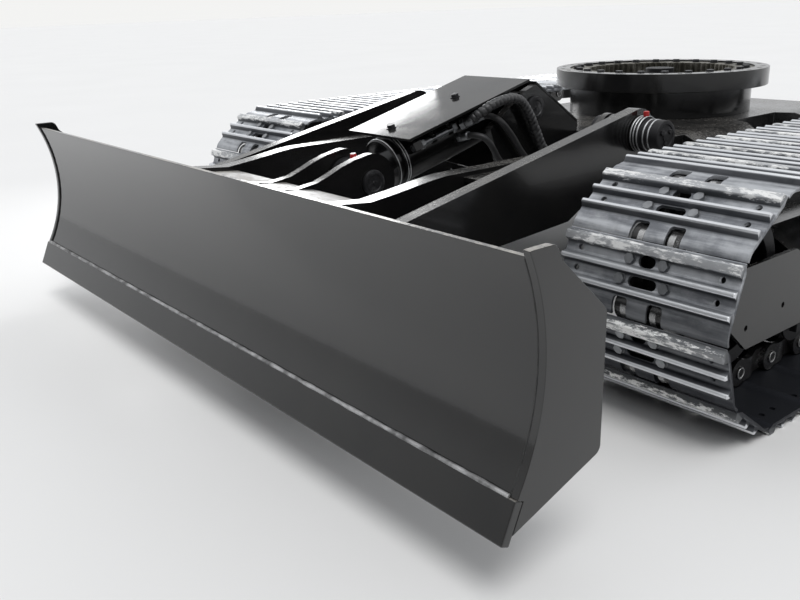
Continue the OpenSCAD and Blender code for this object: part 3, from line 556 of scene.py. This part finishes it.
# Frames of the links: x across, u along the chain, v outwards; columns of a 3x3 matrix
def linkFrames():
    pins = chainPins()
    along = unit(np.roll(pins, -1, 0) - pins)
    turns = np.zeros((len(pins), 3, 3))
    turns[:, 0, 0] = 1
    turns[:, 1, 1], turns[:, 2, 1] = along[:, 0], along[:, 1]
    turns[:, 1, 2], turns[:, 2, 2] = -along[:, 1], along[:, 0]
    places = np.column_stack([np.zeros(len(pins)), pins])
    return turns, places


# Outline of a shoe, counted from its lip over its top side and back along its underside. Columns:
# u, v, worn, grime plus painted shade (darkest on the grousers' leading faces and feet and on the
# underside), scuffed. The lip is an arc about the shoe's own pin; the rear edge is cut
# hollow about the next shoe's pin
def shoeOutline():
    seat = track["pinToPlate"]
    top = seat + track["plate"]
    tip = top + track["grouser"]
    sweep = np.radians(np.linspace(track["lipSweep"], 0, 7))
    outer, inner = track["lipRadius"], track["lipRadius"] - track["lipThickness"]
    rows = [(-outer * math.sin(a), outer * math.cos(a), 0.15, 0.25, 0) for a in sweep]
    rows += [(0.0095, top - 0.0004, 0, 0.1, 0)]
    for u, root, half in track["grousers"]:
        wide = half > 0.006
        scuff = 1.0 if wide else 0.0
        rows += [(u - root - 0.005, top, 0, 0.25, 0), (u - root, top + 0.0018, 0, 0.9, scuff * 0.2),
                 (u - half - 0.0024, tip - 0.0060, 0.05, 0.85, scuff * 0.8),
                 (u - half - 0.0004, tip - 0.0018, 0.75, 0.1, scuff),
                 (u - half + 0.0014, tip - 0.0003, 1, 0, scuff), (u, tip, 1, 0, scuff),
                 (u + half - 0.0014, tip - 0.0003, 1, 0, scuff),
                 (u + half + 0.0004, tip - 0.0018, 0.8, 0, scuff),
                 (u + half + 0.0024, tip - 0.0060, 0.15, 0.1, scuff),
                 (u + root, top + 0.0018, 0, 0.35, scuff * 0.3)]
        if not wide:
            rows += [(u + root + 0.005, top, 0, 0.05, 0)]
    rows += [(0.1472, top + 0.0006, 0.2, 0.2, 0), (0.1478, top - 0.0001, 0.2, 0.2, 0)]
    room = outer + track["lipRoom"]
    rear = np.linspace(0.1470, track["pitch"] - math.sqrt(room ** 2 - seat ** 2), 5)
    rows += [(u, math.sqrt(room ** 2 - (u - track["pitch"]) ** 2), 0, 0.5, 0) for u in rear]
    rows += [(0.010, seat, 0, 0.5, 0)]
    rows += [(-inner * math.sin(a), inner * math.cos(a), 0, 0.5, 0) for a in sweep[::-1]]
    return np.array(rows)


# Values of the outline where it lies nearest to some points: on each side of it the nearest place is
# the share t = (point - start) way / way^2, held between 0 and 1
def outlineValues(points, rows):
    start, end = rows[:, None, :2], np.roll(rows, -1, 0)[:, None, :2]
    way = end - start
    t = np.clip(((points[None] - start) * way).sum(-1) / (way ** 2).sum(-1), 0, 1)
    gap = np.linalg.norm(points[None] - start - t[..., None] * way, axis=-1)
    k = gap.argmin(0)
    t = t[k, np.arange(len(points))][:, None]
    return rows[k, 2:] * (1 - t) + np.roll(rows, -1, 0)[k, 2:] * t


# One shoe: the outline carried across the width in straight steps, lower at both ends, with mud
# holes, round holes and notches cut out
def shoeMesh():
    line = shoeOutline()[:, :2]
    half, inset = track["shoeWidth"] / 2, track["endChamfer"]
    above = line[:, 1] > track["pinToPlate"] + 0.012
    points = []
    for x, drop in ((-half, inset), (inset - half, 0.0), (half - inset, 0.0), (half, inset)):
        points.append(np.column_stack([np.full(len(line), x), line[:, 0], line[:, 1] - above * drop]))
    # The outline turns the other way than a ring of turned, so its faces are turned round
    faces = [face[::-1] for face in closedFaces(len(points), len(line))]
    mesh = bpy.data.meshes.new("shoe")
    mesh.from_pydata(np.vstack(points).tolist(), [], faces)
    shoe = newObject("shoe", mesh)
    cutters = []

    # Hole with rounded corners from x0 to x1 and u0 to u1, through the plate and the grousers
    def cut(x0, x1, u0, u1, rounding):
        corners, heights = 24, (0.02, 0.075)
        a = roundAngles(corners)
        rx, ru = min(rounding, (x1 - x0) / 2), min(rounding, (u1 - u0) / 2)
        cx = np.where(np.cos(a) > 0, x1 - rx, x0 + rx) + rx * np.cos(a)
        cu = np.where(np.sin(a) > 0, u1 - ru, u0 + ru) + ru * np.sin(a)
        rings = np.vstack([np.column_stack([cx, cu, np.full(corners, v)]) for v in heights])
        cutterMesh = bpy.data.meshes.new("cutter")
        cutterMesh.from_pydata(rings.tolist(), [], closedFaces(len(heights), corners))
        cutter = newObject("cutter", cutterMesh)
        modifier = shoe.modifiers.new("cut", "BOOLEAN")
        modifier.operation = "DIFFERENCE"
        modifier.solver = "EXACT"
        modifier.object = cutter
        cutters.append(cutter)

    rows = [row[0] for row in track["boltRows"]]
    for u, (halfX, halfU) in zip(rows, track["mudHoles"]):
        cut(-halfX, halfX, u - halfU, u + halfU, halfU)
    r, notchHalf = track["holeRadius"], track["notchHalf"]
    for side in (-1, 1):
        x, notch = side * (half - track["holeInset"]), side * track["notch"]
        for u in rows:
            cut(x - r, x + r, u - r, u + r, r)
        cut(notch - notchHalf, notch + notchHalf, -0.05, track["notchEnd"], track["notchRounding"])
    bpy.context.view_layer.update()
    cutShoe = shoe.evaluated_get(bpy.context.evaluated_depsgraph_get())
    cutMesh = bpy.data.meshes.new_from_object(cutShoe)
    solid = bmesh.new()
    solid.from_mesh(cutMesh)
    bmesh.ops.remove_doubles(solid, verts=solid.verts, dist=1e-6)
    bmesh.ops.recalc_face_normals(solid, faces=solid.faces)
    solid.to_mesh(cutMesh)
    solid.free()
    vertices = np.zeros(len(cutMesh.vertices) * 3)
    cutMesh.vertices.foreach_get("co", vertices)
    result = vertices.reshape(-1, 3), [list(p.vertices) for p in cutMesh.polygons]
    for helper in cutters + [shoe]:
        bpy.data.objects.remove(helper)
    return result


# Side plate of a link: two round bosses about its pins and a waist between them. Its half height is
# sqrt(r^2 - d^2) at the distance d from the nearer pin, and the waist's at least between the pins. A
# tanh cranks it sideways, so that its front end runs inside the rear end of the link before it
def linkPlate(side):
    p, r = track["pitch"], chain["bossRadius"]
    a = np.radians(np.linspace(0, 75, 7))
    front = -r * np.cos(a)
    middle = np.linspace(-r * math.cos(a[-1]), p + r * math.cos(a[-1]), 13)[1:-1]
    u = np.concatenate([front, middle, p - front[::-1]])
    reach = np.minimum(np.abs(u), np.abs(u - p))
    boss = np.sqrt(np.clip(r ** 2 - reach ** 2, 0, None))
    half = np.where((u > 0) & (u < p), np.maximum(boss, chain["waist"]), boss)
    half[0] = half[-1] = chain["tipHalf"]
    crank = chain["crank"] * np.tanh((u - p / 2) / chain["crankLength"])
    inner = side * (chain["inner"] + crank)
    outer = side * (chain["inner"] + chain["thickness"] + crank)
    rings = [np.column_stack([x, u, v]) for x, v in ((inner, -half), (outer, -half), (outer, half),
                                                    (inner, half))]
    points = np.stack(rings, 1).reshape(-1, 3)
    faces = closedFaces(len(u), len(rings))
    return points, [face[::-1] for face in faces] if side > 0 else faces


# Several meshes in one: each one's faces count on from the points before it
def joinMeshes(parts):
    points, faces, offset = [], [], 0
    for p, f in parts:
        points.append(np.asarray(p))
        faces += [[v + offset for v in face] for face in f]
        offset += len(p)
    return np.vstack(points), faces


turns, places = linkFrames()
shoePoints, shoeFaces = shoeMesh()
shoeWear = outlineValues(shoePoints[:, 1:], shoeOutline())
boltBase, boltFaces = hexHead(track["boltAcross"], track["boltHeight"], track["boltWasher"])
upTurn = towards((0, 0, 1))
boltFoot = track["pinToPlate"] + track["plate"] - track["boltSink"]
boltSpots = [(s * x, u, boltFoot) for u, x in track["boltRows"] for s in (-1, 1)]
boltPoints, boltFaces = copies(boltBase, boltFaces, [upTurn] * 4, boltSpots)
# Pin with a raised rim on each end
half, r, proud = chain["pinHalf"], chain["pinRadius"], 0.0016
rim = [(0, r - 0.0055), (proud, r - 0.0040), (proud, r - 0.0012), (0, r)]
pin = turned([(-half - x, q) for x, q in rim] + [(half + x, q) for x, q in rim[::-1]], 20)
bush = turned([(s * chain["bushHalf"], chain["bushRadius"]) for s in (-1, 1)], 20)
linkPoints, linkFaces = joinMeshes([linkPlate(1), linkPlate(-1), pin, bush])
# Bare metal on the pins' rims and round the bosses
fromPin = np.hypot(linkPoints[:, 1], linkPoints[:, 2])
bossWear = np.clip((fromPin - chain["wearFrom"]) / chain["wearOver"], 0, 1) * (linkPoints[:, 1] < 0)
linkWear = np.where(np.abs(linkPoints[:, 0]) > half + proud / 2, 1.0, bossWear * 0.8)
rearLimit = cadBox[1][1] - shift[1] - 0.0001  # no tip stands out behind the solid track
for name, side in bothSides:
    there = places + np.array([side * trackX, 0, 0])
    points, faces = copies(shoePoints, shoeFaces, turns, there)
    points[:, 1] = np.minimum(points[:, 1], rearLimit)
    # The second values are grime plus painted shade
    marks = dict(zip(("worn", "grimed", "scuffed"), np.tile(shoeWear, (len(there), 1)).T))
    addPiece("shoes_" + name, points, faces, shoeSteel, "undercarriage", ("track_" + name,),
             smooth=28.0, marks=marks)
    points, faces = copies(linkPoints, linkFaces, turns, there)
    addPiece("links_" + name, points, faces, chainSteel, "undercarriage",
             smooth=40.0, marks={"worn": np.tile(linkWear, len(there))})
    points, faces = copies(boltPoints, boltFaces, turns, there)
    addPiece("shoeBolts_" + name, points, faces, boltZinc, "undercarriage",
             smooth=25.0)
print("stage: tracks")


# Lift cylinder: its pins and the directions along, across and up from it

# Places in pairs are y and z; single places are distances along the cylinder from the barrel pin.
# Gland rings: place, how far proud of the barrel, width. Heads and nuts: across flats, height, washer
cylinder = {
    "barrelPin": (0.201, 0.656), "rodPin": (-0.390, 0.502), "rodEye": 0.060, "barrelRadius": 0.075,
    "glandRings": ((0.466, 0.0058, 0.0040), (0.475, 0.0058, 0.0030), (0.502, 0.0040, 0.0035)),
    "guardTop": 0.091, "guardBolts": (0.184, 0.446), "guardHead": (0.022, 0.011, 0.0150),
    "pipeOff": 0.092, "pipeTurn": 24, "pipeRadius": 0.0100, "pipeEnds": (0.250, 0.452),
    "nuts": (0.281, 0.410), "nut": (0.027, 0.014), "clips": (0.305, 0.372, 0.440),
    "clip": (0.018, 0.030, 0.024), "clipHead": (0.013, 0.008),
}
barrelPin = np.array([0, *cylinder["barrelPin"]])
rodPin = np.array([0, *cylinder["rodPin"]])
pinDistance = np.linalg.norm(rodPin - barrelPin)
cylinderLine = (rodPin - barrelPin) / pinDistance
# Columns: along the cylinder from the barrel pin, across to +X, and up
acrossLine = np.array([1.0, 0.0, 0.0])
cylinderAxes = np.column_stack([cylinderLine, acrossLine, np.cross(cylinderLine, acrossLine)])
rodChrome = rodFinish(rodPin + shift, cylinderLine, cylinder["rodEye"])


# The CAD's own pieces, with rounded edges

# Material and width of the rounded edges
finishes = {
    "center_frame": (framePaint, 0.004), "pivot_lugs": (framePaint, 0.002),
    "ring_seat": (framePaint, 0.001), "inner_race": (gearSteel, 0.0008),
    "turning_race": (framePaint, 0.0015), "swivel_joint": (castSteel, 0.002),
    "guard_plate": (guardPaint, 0.0015), "track_frame": (framePaint, 0.003),
    "idler": (castSteel, 0.002), "idler_yoke": (castSteel, 0.001), "sprocket": (castSteel, 0.0015),
    "travel_motor": (framePaint, 0.003), "bottom_rollers": (castSteel, 0.0006),
    "carrier_roller": (castSteel, 0.0015), "mouldboard": (bladePaint, 0.0015),
    "cutting_edge": (bladePaint, 0.003), "end_plate": (bladePaint, 0.0015),
    "back_box": (shelfPaint, 0.002), "cylinder_lugs": (framePaint, 0.0025),
    "push_arm": (framePaint, 0.0025), "pivot_pins": (pinSteel, 0.002),
    "rod_pin": (pinSteel, 0.0015), "barrel_pin": (pinSteel, 0.0015),
    "grease_caps": (redPlastic, 0.001), "cylinder_barrel": (framePaint, 0.0015),
    "cylinder_rod": (rodChrome, 0.002), "nose_plates": (framePaint, 0.002),
    "nose_cover": (guardPaint, 0.0015),
}
for node in sorted(frame["nodes"]):
    kind = node.removesuffix("_left").removesuffix("_right")
    if kind in finishes:
        dressNode(node, *finishes[kind])
print("stage: dressed nodes")


# Hoses of the lift cylinder, on the machine's left side

# Route in x, y and z from the cylinder to the front wall of the car body. Ripple: pitch, depth and
# share of the pitch
hoses = {
    "guardedHose": {"radius": 0.0118, "ripple": (0.015, 0.0030, 0.72), "route": [
        (0.097, -0.064, 0.629), (0.112, -0.058, 0.636), (0.134, -0.050, 0.650),
        (0.156, -0.036, 0.668), (0.166, -0.012, 0.683), (0.167, 0.022, 0.692), (0.167, 0.069, 0.697),
        (0.167, 0.104, 0.691), (0.167, 0.130, 0.672), (0.167, 0.158, 0.635), (0.167, 0.187, 0.585),
        (0.167, 0.216, 0.536), (0.167, 0.262, 0.494), (0.167, 0.320, 0.480), (0.167, 0.400, 0.480)]},
    "upperHose": {"radius": 0.0095, "ripple": None, "route": [
        (0.076, 0.004, 0.634), (0.098, 0.010, 0.644), (0.126, 0.020, 0.648), (0.150, 0.031, 0.640),
        (0.162, 0.047, 0.622), (0.163, 0.083, 0.584), (0.163, 0.132, 0.524), (0.163, 0.200, 0.466),
        (0.163, 0.270, 0.442), (0.163, 0.330, 0.438), (0.163, 0.400, 0.438)]},
    "lowerHose": {"radius": 0.0095, "ripple": None, "route": [
        (0.072, -0.052, 0.588), (0.098, -0.050, 0.594), (0.128, -0.042, 0.598),
        (0.152, -0.028, 0.592), (0.162, -0.010, 0.572), (0.163, 0.004, 0.552), (0.163, 0.035, 0.512),
        (0.163, 0.110, 0.446), (0.163, 0.220, 0.412), (0.163, 0.330, 0.404),
        (0.163, 0.400, 0.404)]},
}
# Where the hoses stop following the barrel, and from where they keep still
hoseBend = [tuple(np.array((0.16, y, 0.6)) + shift) for y in (0.02, 0.22)]
for name, hose in hoses.items():
    wrapped = bool(hose["ripple"])
    piece = tube(name, hose["route"], hose["radius"], spiralGuard if wrapped else hoseRubber,
                 hose["ripple"], dense=14 if wrapped else 7, sides=18 if wrapped else 12)
    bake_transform(piece, "barrel", "undercarriage", start=hoseBend[0], end=hoseBend[1])
    route, r = np.array(hose["route"]), hose["radius"]
    ferrule = turned([(-0.002, r + 0.0012), (0.016, r + 0.0012), (0.018, r + 0.0034),
                      (0.040, r + 0.0034), (0.042, r + 0.0006)], 24)
    for end, first, second, body in (("Front", 0, 1, "barrel"), ("Rear", -1, -2, "undercarriage")):
        away = route[second] - route[first]
        points, faces = joinMeshes([ferrule, hexHead(2 * r + 0.008, 0.015)])
        points = points @ towards(away / np.linalg.norm(away)).T + route[first]
        addPiece(name + end + "Fitting", points, faces, boltZinc, body)
print("stage: hoses")


# Fittings of the lift cylinder and its guard

# Points in the cylinder's own directions, moved along it from the barrel pin
def onCylinder(points, along=0.0):
    return (np.asarray(points) + (along, 0, 0)) @ cylinderAxes.T + barrelPin


# Ring about +X: a spun section of six corners with chamfers on the outer ones
def ringMesh(outer, inner, width, chamfer=0.001):
    sides = 64
    corners = [(0, inner), (0, outer - chamfer), (chamfer, outer), (width - chamfer, outer),
               (width, outer - chamfer), (width, inner)]
    return spin(np.array(corners), sides), gridFaces(len(corners), sides, True, True).tolist()


# Box with its middle at a place: its corners are plus and minus half its size
def block(size, place):
    corners = np.array([(x, y, z) for x in (-1, 1) for y in (-1, 1) for z in (-1, 1)]) / 2
    faces = [[0, 1, 3, 2], [4, 6, 7, 5], [0, 4, 5, 1], [2, 3, 7, 6], [0, 2, 6, 4], [1, 5, 7, 3]]
    return corners * size + place, faces


ringDepth = 0.004  # how far a ring reaches into what it sits on
parts = []
for place, proud, width in cylinder["glandRings"]:
    outer, inner = cylinder["barrelRadius"] + proud, cylinder["barrelRadius"] - ringDepth
    ring, ringFaces = ringMesh(outer, inner, width)
    parts.append((ring + (place, 0, 0), ringFaces))
points, faces = joinMeshes(parts)
# The gland rings' bright colour is bare steel plus a painted highlight
addPiece("glandRings", onCylinder(points), faces, bareEdge, "barrel")

head, headFaces = hexHead(*cylinder["guardHead"])
points, faces = joinMeshes([(head @ upTurn.T + (s, 0, cylinder["guardTop"]), headFaces)
                            for s in cylinder["guardBolts"]])
addPiece("guardBolts", onCylinder(points), faces, boltBlack, "barrel")

# Pipe along the barrel: blocks with a bolt hold it, and it has a nut near each end
turnPipe = math.radians(cylinder["pipeTurn"])
pipe = cylinder["pipeOff"] * np.array([0, math.cos(turnPipe), math.sin(turnPipe)])
parts = []
for s in cylinder["clips"]:
    parts.append(block(cylinder["clip"], pipe + (s, -0.006, 0)))
    bolt, boltFaces = hexHead(*cylinder["clipHead"])
    parts.append((bolt @ upTurn.T + (pipe + (s, -0.004, 0.012)), boltFaces))
points, faces = joinMeshes(parts)
addPiece("pipeClips", onCylinder(points), faces, framePaint, "barrel",
         bevel=0.0005)
parts = []
for s in cylinder["nuts"]:
    nut, nutFaces = hexHead(*cylinder["nut"])
    parts.append((nut + (pipe + (s, 0, 0)), nutFaces))
pipeBody, pipeFaces = turned([(s, cylinder["pipeRadius"]) for s in cylinder["pipeEnds"]], 20)
parts.append((pipeBody + pipe, pipeFaces))
points, faces = joinMeshes(parts)
addPiece("barrelPipe", onCylinder(points), faces, boltZinc, "barrel")

# Red cap over the grease nipple of the rod eye
cap = {"turn": 100, "from": 0.056, "height": 0.018, "radius": 0.0095}
r, h = cap["radius"], cap["height"]
points, faces = turned([(0, r), (h * 0.18, r), (h * 0.22, r - 0.0008), (h * 0.30, r - 0.0008),
                        (h * 0.34, r), (h * 0.85, r - 0.0005), (h, r - 0.0025)], 28)
tilt = math.radians(cap["turn"])
outwards = (math.cos(tilt), 0, math.sin(tilt))
points = points @ towards(outwards).T + np.array(outwards) * cap["from"]
addPiece("rodEyeCap", onCylinder(points, pinDistance), faces, redPlastic, "rod",
         smooth=40.0)

# Pin ends of the cylinder: a raised ring, a sunk face and a small boss in the middle. The table has
# the name, the pin's place, how far out its end stands and the body
pinEnd = [(0, 0.0355), (0.0022, 0.0350), (0.0030, 0.0330), (0.0030, 0.0245), (0.0008, 0.0225),
          (0.0008, 0.0060), (0.0028, 0.0048)]
for name, place, x, body in (("rodPinEnd", rodPin, 0.0865, "blade"),
                             ("barrelPinEnd", barrelPin, 0.1510, "undercarriage")):
    points, faces = turned(pinEnd, 48)
    addPiece(name, points + place + (x, 0, 0), faces, pinSteel, body)

# Pivot at the rear of each push arm: rings, a grooved boss, a sunk end disc with its bolts
pivot = {"place": (0.247, 0.603), "ring": 0.050, "boss": 0.044, "ringPlaces": (0.5035, 0.5130, 0.5240),
         "bossPlaces": (0.5400, 0.5560), "ringWidth": 0.0042, "proud": 0.0014, "chamfer": 0.0012,
         "end": 0.586, "head": (0.013, 0.006), "boltCircle": 0.0215, "boltAngles": (30, 150, 270)}
endDisc = [(0, 0.0438), (0.0016, 0.0430), (0.0024, 0.0410), (0.0024, 0.0330), (0.0004, 0.0310),
           (0.0004, 0.0130), (0.0030, 0.0115)]
pivotSpot = np.array([0, *pivot["place"]])
for name, side in bothSides:
    facing = towards((side, 0, 0))
    parts = []
    for r, spots in ((pivot["ring"], pivot["ringPlaces"]), (pivot["boss"], pivot["bossPlaces"])):
        ring, ringFaces = ringMesh(r + pivot["proud"], r - ringDepth, pivot["ringWidth"],
                                   pivot["chamfer"])
        parts += [(ring + (x, 0, 0), ringFaces) for x in spots]
    points, faces = joinMeshes(parts)
    # The pivot rings' bright colour is bare steel plus a painted highlight
    addPiece("pivotRings_" + name, points @ facing.T + pivotSpot, faces, bareEdge, "blade")
    disc, discFaces = turned(endDisc, 56)
    bolt, boltFaces = hexHead(*pivot["head"])
    parts = [(disc + (pivot["end"], 0, 0), discFaces)]
    for a in np.radians(pivot["boltAngles"]):
        spot = (pivot["end"], pivot["boltCircle"] * math.cos(a), pivot["boltCircle"] * math.sin(a))
        parts.append((bolt + spot, boltFaces))
    points, faces = joinMeshes(parts)
    addPiece("pivotEnd_" + name, points @ facing.T + pivotSpot, faces, pinSteel, "blade")
print("stage: fittings")


# Bolts of the slewing ring, sprockets and travel motors

slewBolts = {"place": (1.060, 0.714), "circle": 0.306, "count": 24, "firstAngle": 7.5,
             "across": 0.024, "height": 0.011, "washer": 0.0165}
around = np.radians(np.arange(slewBolts["count"]) * 360 / slewBolts["count"] + slewBolts["firstAngle"])
spots = np.column_stack([slewBolts["circle"] * np.cos(around),
                         slewBolts["place"][0] + slewBolts["circle"] * np.sin(around),
                         np.full(len(around), slewBolts["place"][1])])
boltSet("innerRaceBolts", spots, (0, 0, 1), slewBolts["across"], slewBolts["height"], boltBlack,
        "undercarriage", slewBolts["washer"])

# Circles of bolts: radius, count, distance outside the middle of the track, across flats, height
driveBolts = {"sprocketBolts": (0.152, 16, 0.018, 0.022, 0.010),
              "coverBolts": (0.1135, 12, 0.058, 0.014, 0.007)}
for name, side in bothSides:
    for kind, (radius, count, out, across, height) in driveBolts.items():
        around = np.radians(np.arange(count) * 360 / count)
        spots = np.column_stack([np.full(count, side * (trackX + out)),
                                 tumblers + radius * np.cos(around), wheelZ + radius * np.sin(around)])
        boltSet(kind + "_" + name, spots, (side, 0, 0), across, height, boltBlack, "undercarriage")
print("stage: bolts")


# Weld beads of the blade

# Weld bead along a route: at the distance s its radius is the given one times 0.86 + 0.14 |sin(pi s /
# pitch)| + 0.10 sin(61 s) sin(23 s + 1)
def bead(name, route, radius, material):
    pitch, sides = 0.0045, 8
    route = np.asarray(route, float)
    steps = np.linalg.norm(np.diff(route, axis=0), axis=1)
    total = np.concatenate([[0], np.cumsum(steps)])
    s = np.arange(0, total[-1], pitch / 4)
    line = np.stack([np.interp(s, total, route[:, k]) for k in range(3)], -1)
    along = unit(np.gradient(line, axis=0))
    guide = np.where(np.abs(along[:, :1]) > 0.9, (0.0, 0.0, 1.0), (1.0, 0.0, 0.0))
    side = unit(np.cross(along, guide))
    swell = radius * (0.86 + 0.14 * np.abs(np.sin(np.pi * s / pitch))
                      + 0.10 * np.sin(s * 61.0) * np.sin(s * 23.0 + 1.0))
    points, faces = cord(line, along, side, swell[:, None], sides)
    addPiece(name, points, faces, material, "blade", smooth=60.0)


# Mouldboard's inner arc in y and z, from the low angle to the high one, and the beads along it
mould = {"centre": (-1.3185, 0.43045), "radius": 0.449, "endX": 1.128, "low": (-0.9335, 0.2062),
         "angles": (-30.2, 23.2), "edgeBead": 0.0052, "endBead": 0.0034}
# The edge bead's bright colour is a painted highlight
bead("edgeBead", [(s * mould["endX"], *mould["low"]) for s in (-1, 1)], mould["edgeBead"], weldBead)
arc = np.linspace(*np.radians(mould["angles"]), 60)
for name, side in bothSides:
    ring = np.column_stack([np.full(len(arc), side * mould["endX"]),
                            mould["centre"][0] + mould["radius"] * np.cos(arc),
                            mould["centre"][1] + mould["radius"] * np.sin(arc)])
    bead("endBead_" + name, ring, mould["endBead"], paintedBead)
print("stage: weld beads")


# Stage, light and camera

# Pale matt floor, a little clouded
def floorFinish():
    f = Finish("paleFloor")
    cloud = f.noise(0.8, 4.0, 0.5)
    return f.set(Base_Color=f.blend(cloud.step(0.2, 0.8), (0.765, 0.76, 0.75), (0.785, 0.78, 0.77)),
                 Roughness=0.75)


floorHalf = 90
floorMesh = bpy.data.meshes.new("floor")
floorMesh.from_pydata([(-floorHalf, -floorHalf, 0), (floorHalf, -floorHalf, 0),
                       (floorHalf, floorHalf, 0), (-floorHalf, floorHalf, 0)], [], [(0, 1, 2, 3)])
floorMesh.materials.append(floorFinish())
floor = newObject("floor", floorMesh)

world = bpy.data.worlds.new("studio")
world.use_nodes = True
bpy.context.scene.world = world

# Light that is bright overhead and behind the object and dim in front of it, as in a studio with one
# open side: a step of level + height and + openness times their shares. The camera sees a plain pale
# backdrop instead, and what mirrors and what is seen through see it in part
studio = {"bright": (0.94, 0.96, 0.99), "dim": (0.045, 0.047, 0.052), "backdrop": (0.90, 0.90, 0.89),
          "openSide": (-0.78, 0.62), "level": 0.30, "heightShare": 0.60, "openShare": 0.42,
          "between": (0.10, 0.85), "mirrored": 0.4, "strength": 1.0}
sky = Finish("studio", world, "Background", "Generated")
eastward, northward, height = [sky.add("ShaderNodeSeparateXYZ", {}, {0: sky.place}, k)
                               for k in range(3)]
opened = eastward * studio["openSide"][0] + northward * studio["openSide"][1]
glow = height * studio["heightShare"] + opened * studio["openShare"] + studio["level"]
glow = glow.step(*studio["between"])
seen, mirrored, through = [sky.add("ShaderNodeLightPath", {}, {}, kind)
                           for kind in ("Is Camera Ray", "Is Glossy Ray", "Is Transmission Ray")]
seen = (seen + (mirrored + through) * studio["mirrored"]).clip()
sky.set(Color=sky.blend(seen, sky.blend(glow, studio["dim"], studio["bright"]), studio["backdrop"]),
        Strength=studio["strength"])


# Lamp at a place that shines towards a target; size is a sun's angle or a lamp's edge
def softLamp(name, kind, place, target, size, power):
    data = bpy.data.lights.new(name, kind)
    if kind == "SUN":
        data.angle = size
    else:
        data.size = size
    data.energy = power
    lamp = newObject(name, data)
    lamp.location = place
    lamp.rotation_euler = (Vector(target) - Vector(place)).to_track_quat("-Z", "Y").to_euler()


softLamp("keyLamp", "SUN", (4.0, -2.0, 9.0), (0, 0, 0), size=0.5, power=1.35)
softLamp("windowLamp", "AREA", (-2.49, 0.40, 1.42), (0, -0.9, 0.67), size=0.9, power=26)

# Camera of the photograph: where it stands, its direction and roll in degrees, its lens and sensor in
# millimetres, and the picture's size and optical middle in pixels
photoCamera = {"place": (1.965, -1.824, 0.972), "azimuth": 51.4, "elevation": 18.9, "roll": -1.9,
               "lens": 38.4, "sensor": 36.0, "picture": (800, 600), "middle": (396.5, 296.7)}
cameraPlace = Vector(photoCamera["place"]) + Vector(shift)
azimuth, elevation, roll = [math.radians(photoCamera[k]) for k in ("azimuth", "elevation", "roll")]
look = Vector((-math.sin(azimuth) * math.cos(elevation), math.cos(azimuth) * math.cos(elevation),
               -math.sin(elevation)))
cameraData = bpy.data.cameras.new("camera")
cameraData.sensor_width = photoCamera["sensor"]
cameraData.lens = photoCamera["lens"]
wide, high = photoCamera["picture"]
cameraData.shift_x = (wide / 2 - photoCamera["middle"][0]) / wide
cameraData.shift_y = (photoCamera["middle"][1] - high / 2) / wide
camera = newObject("camera", cameraData)
camera.matrix_world = (Matrix.Translation(cameraPlace)
                       @ look.to_track_quat("-Z", "Y").to_matrix().to_4x4()
                       @ Matrix.Rotation(roll, 4, "Z"))
bpy.context.scene.camera = camera
bpy.context.scene.view_settings.view_transform = "Standard"
print("stage: camera and light")

bpy.context.view_layer.update()
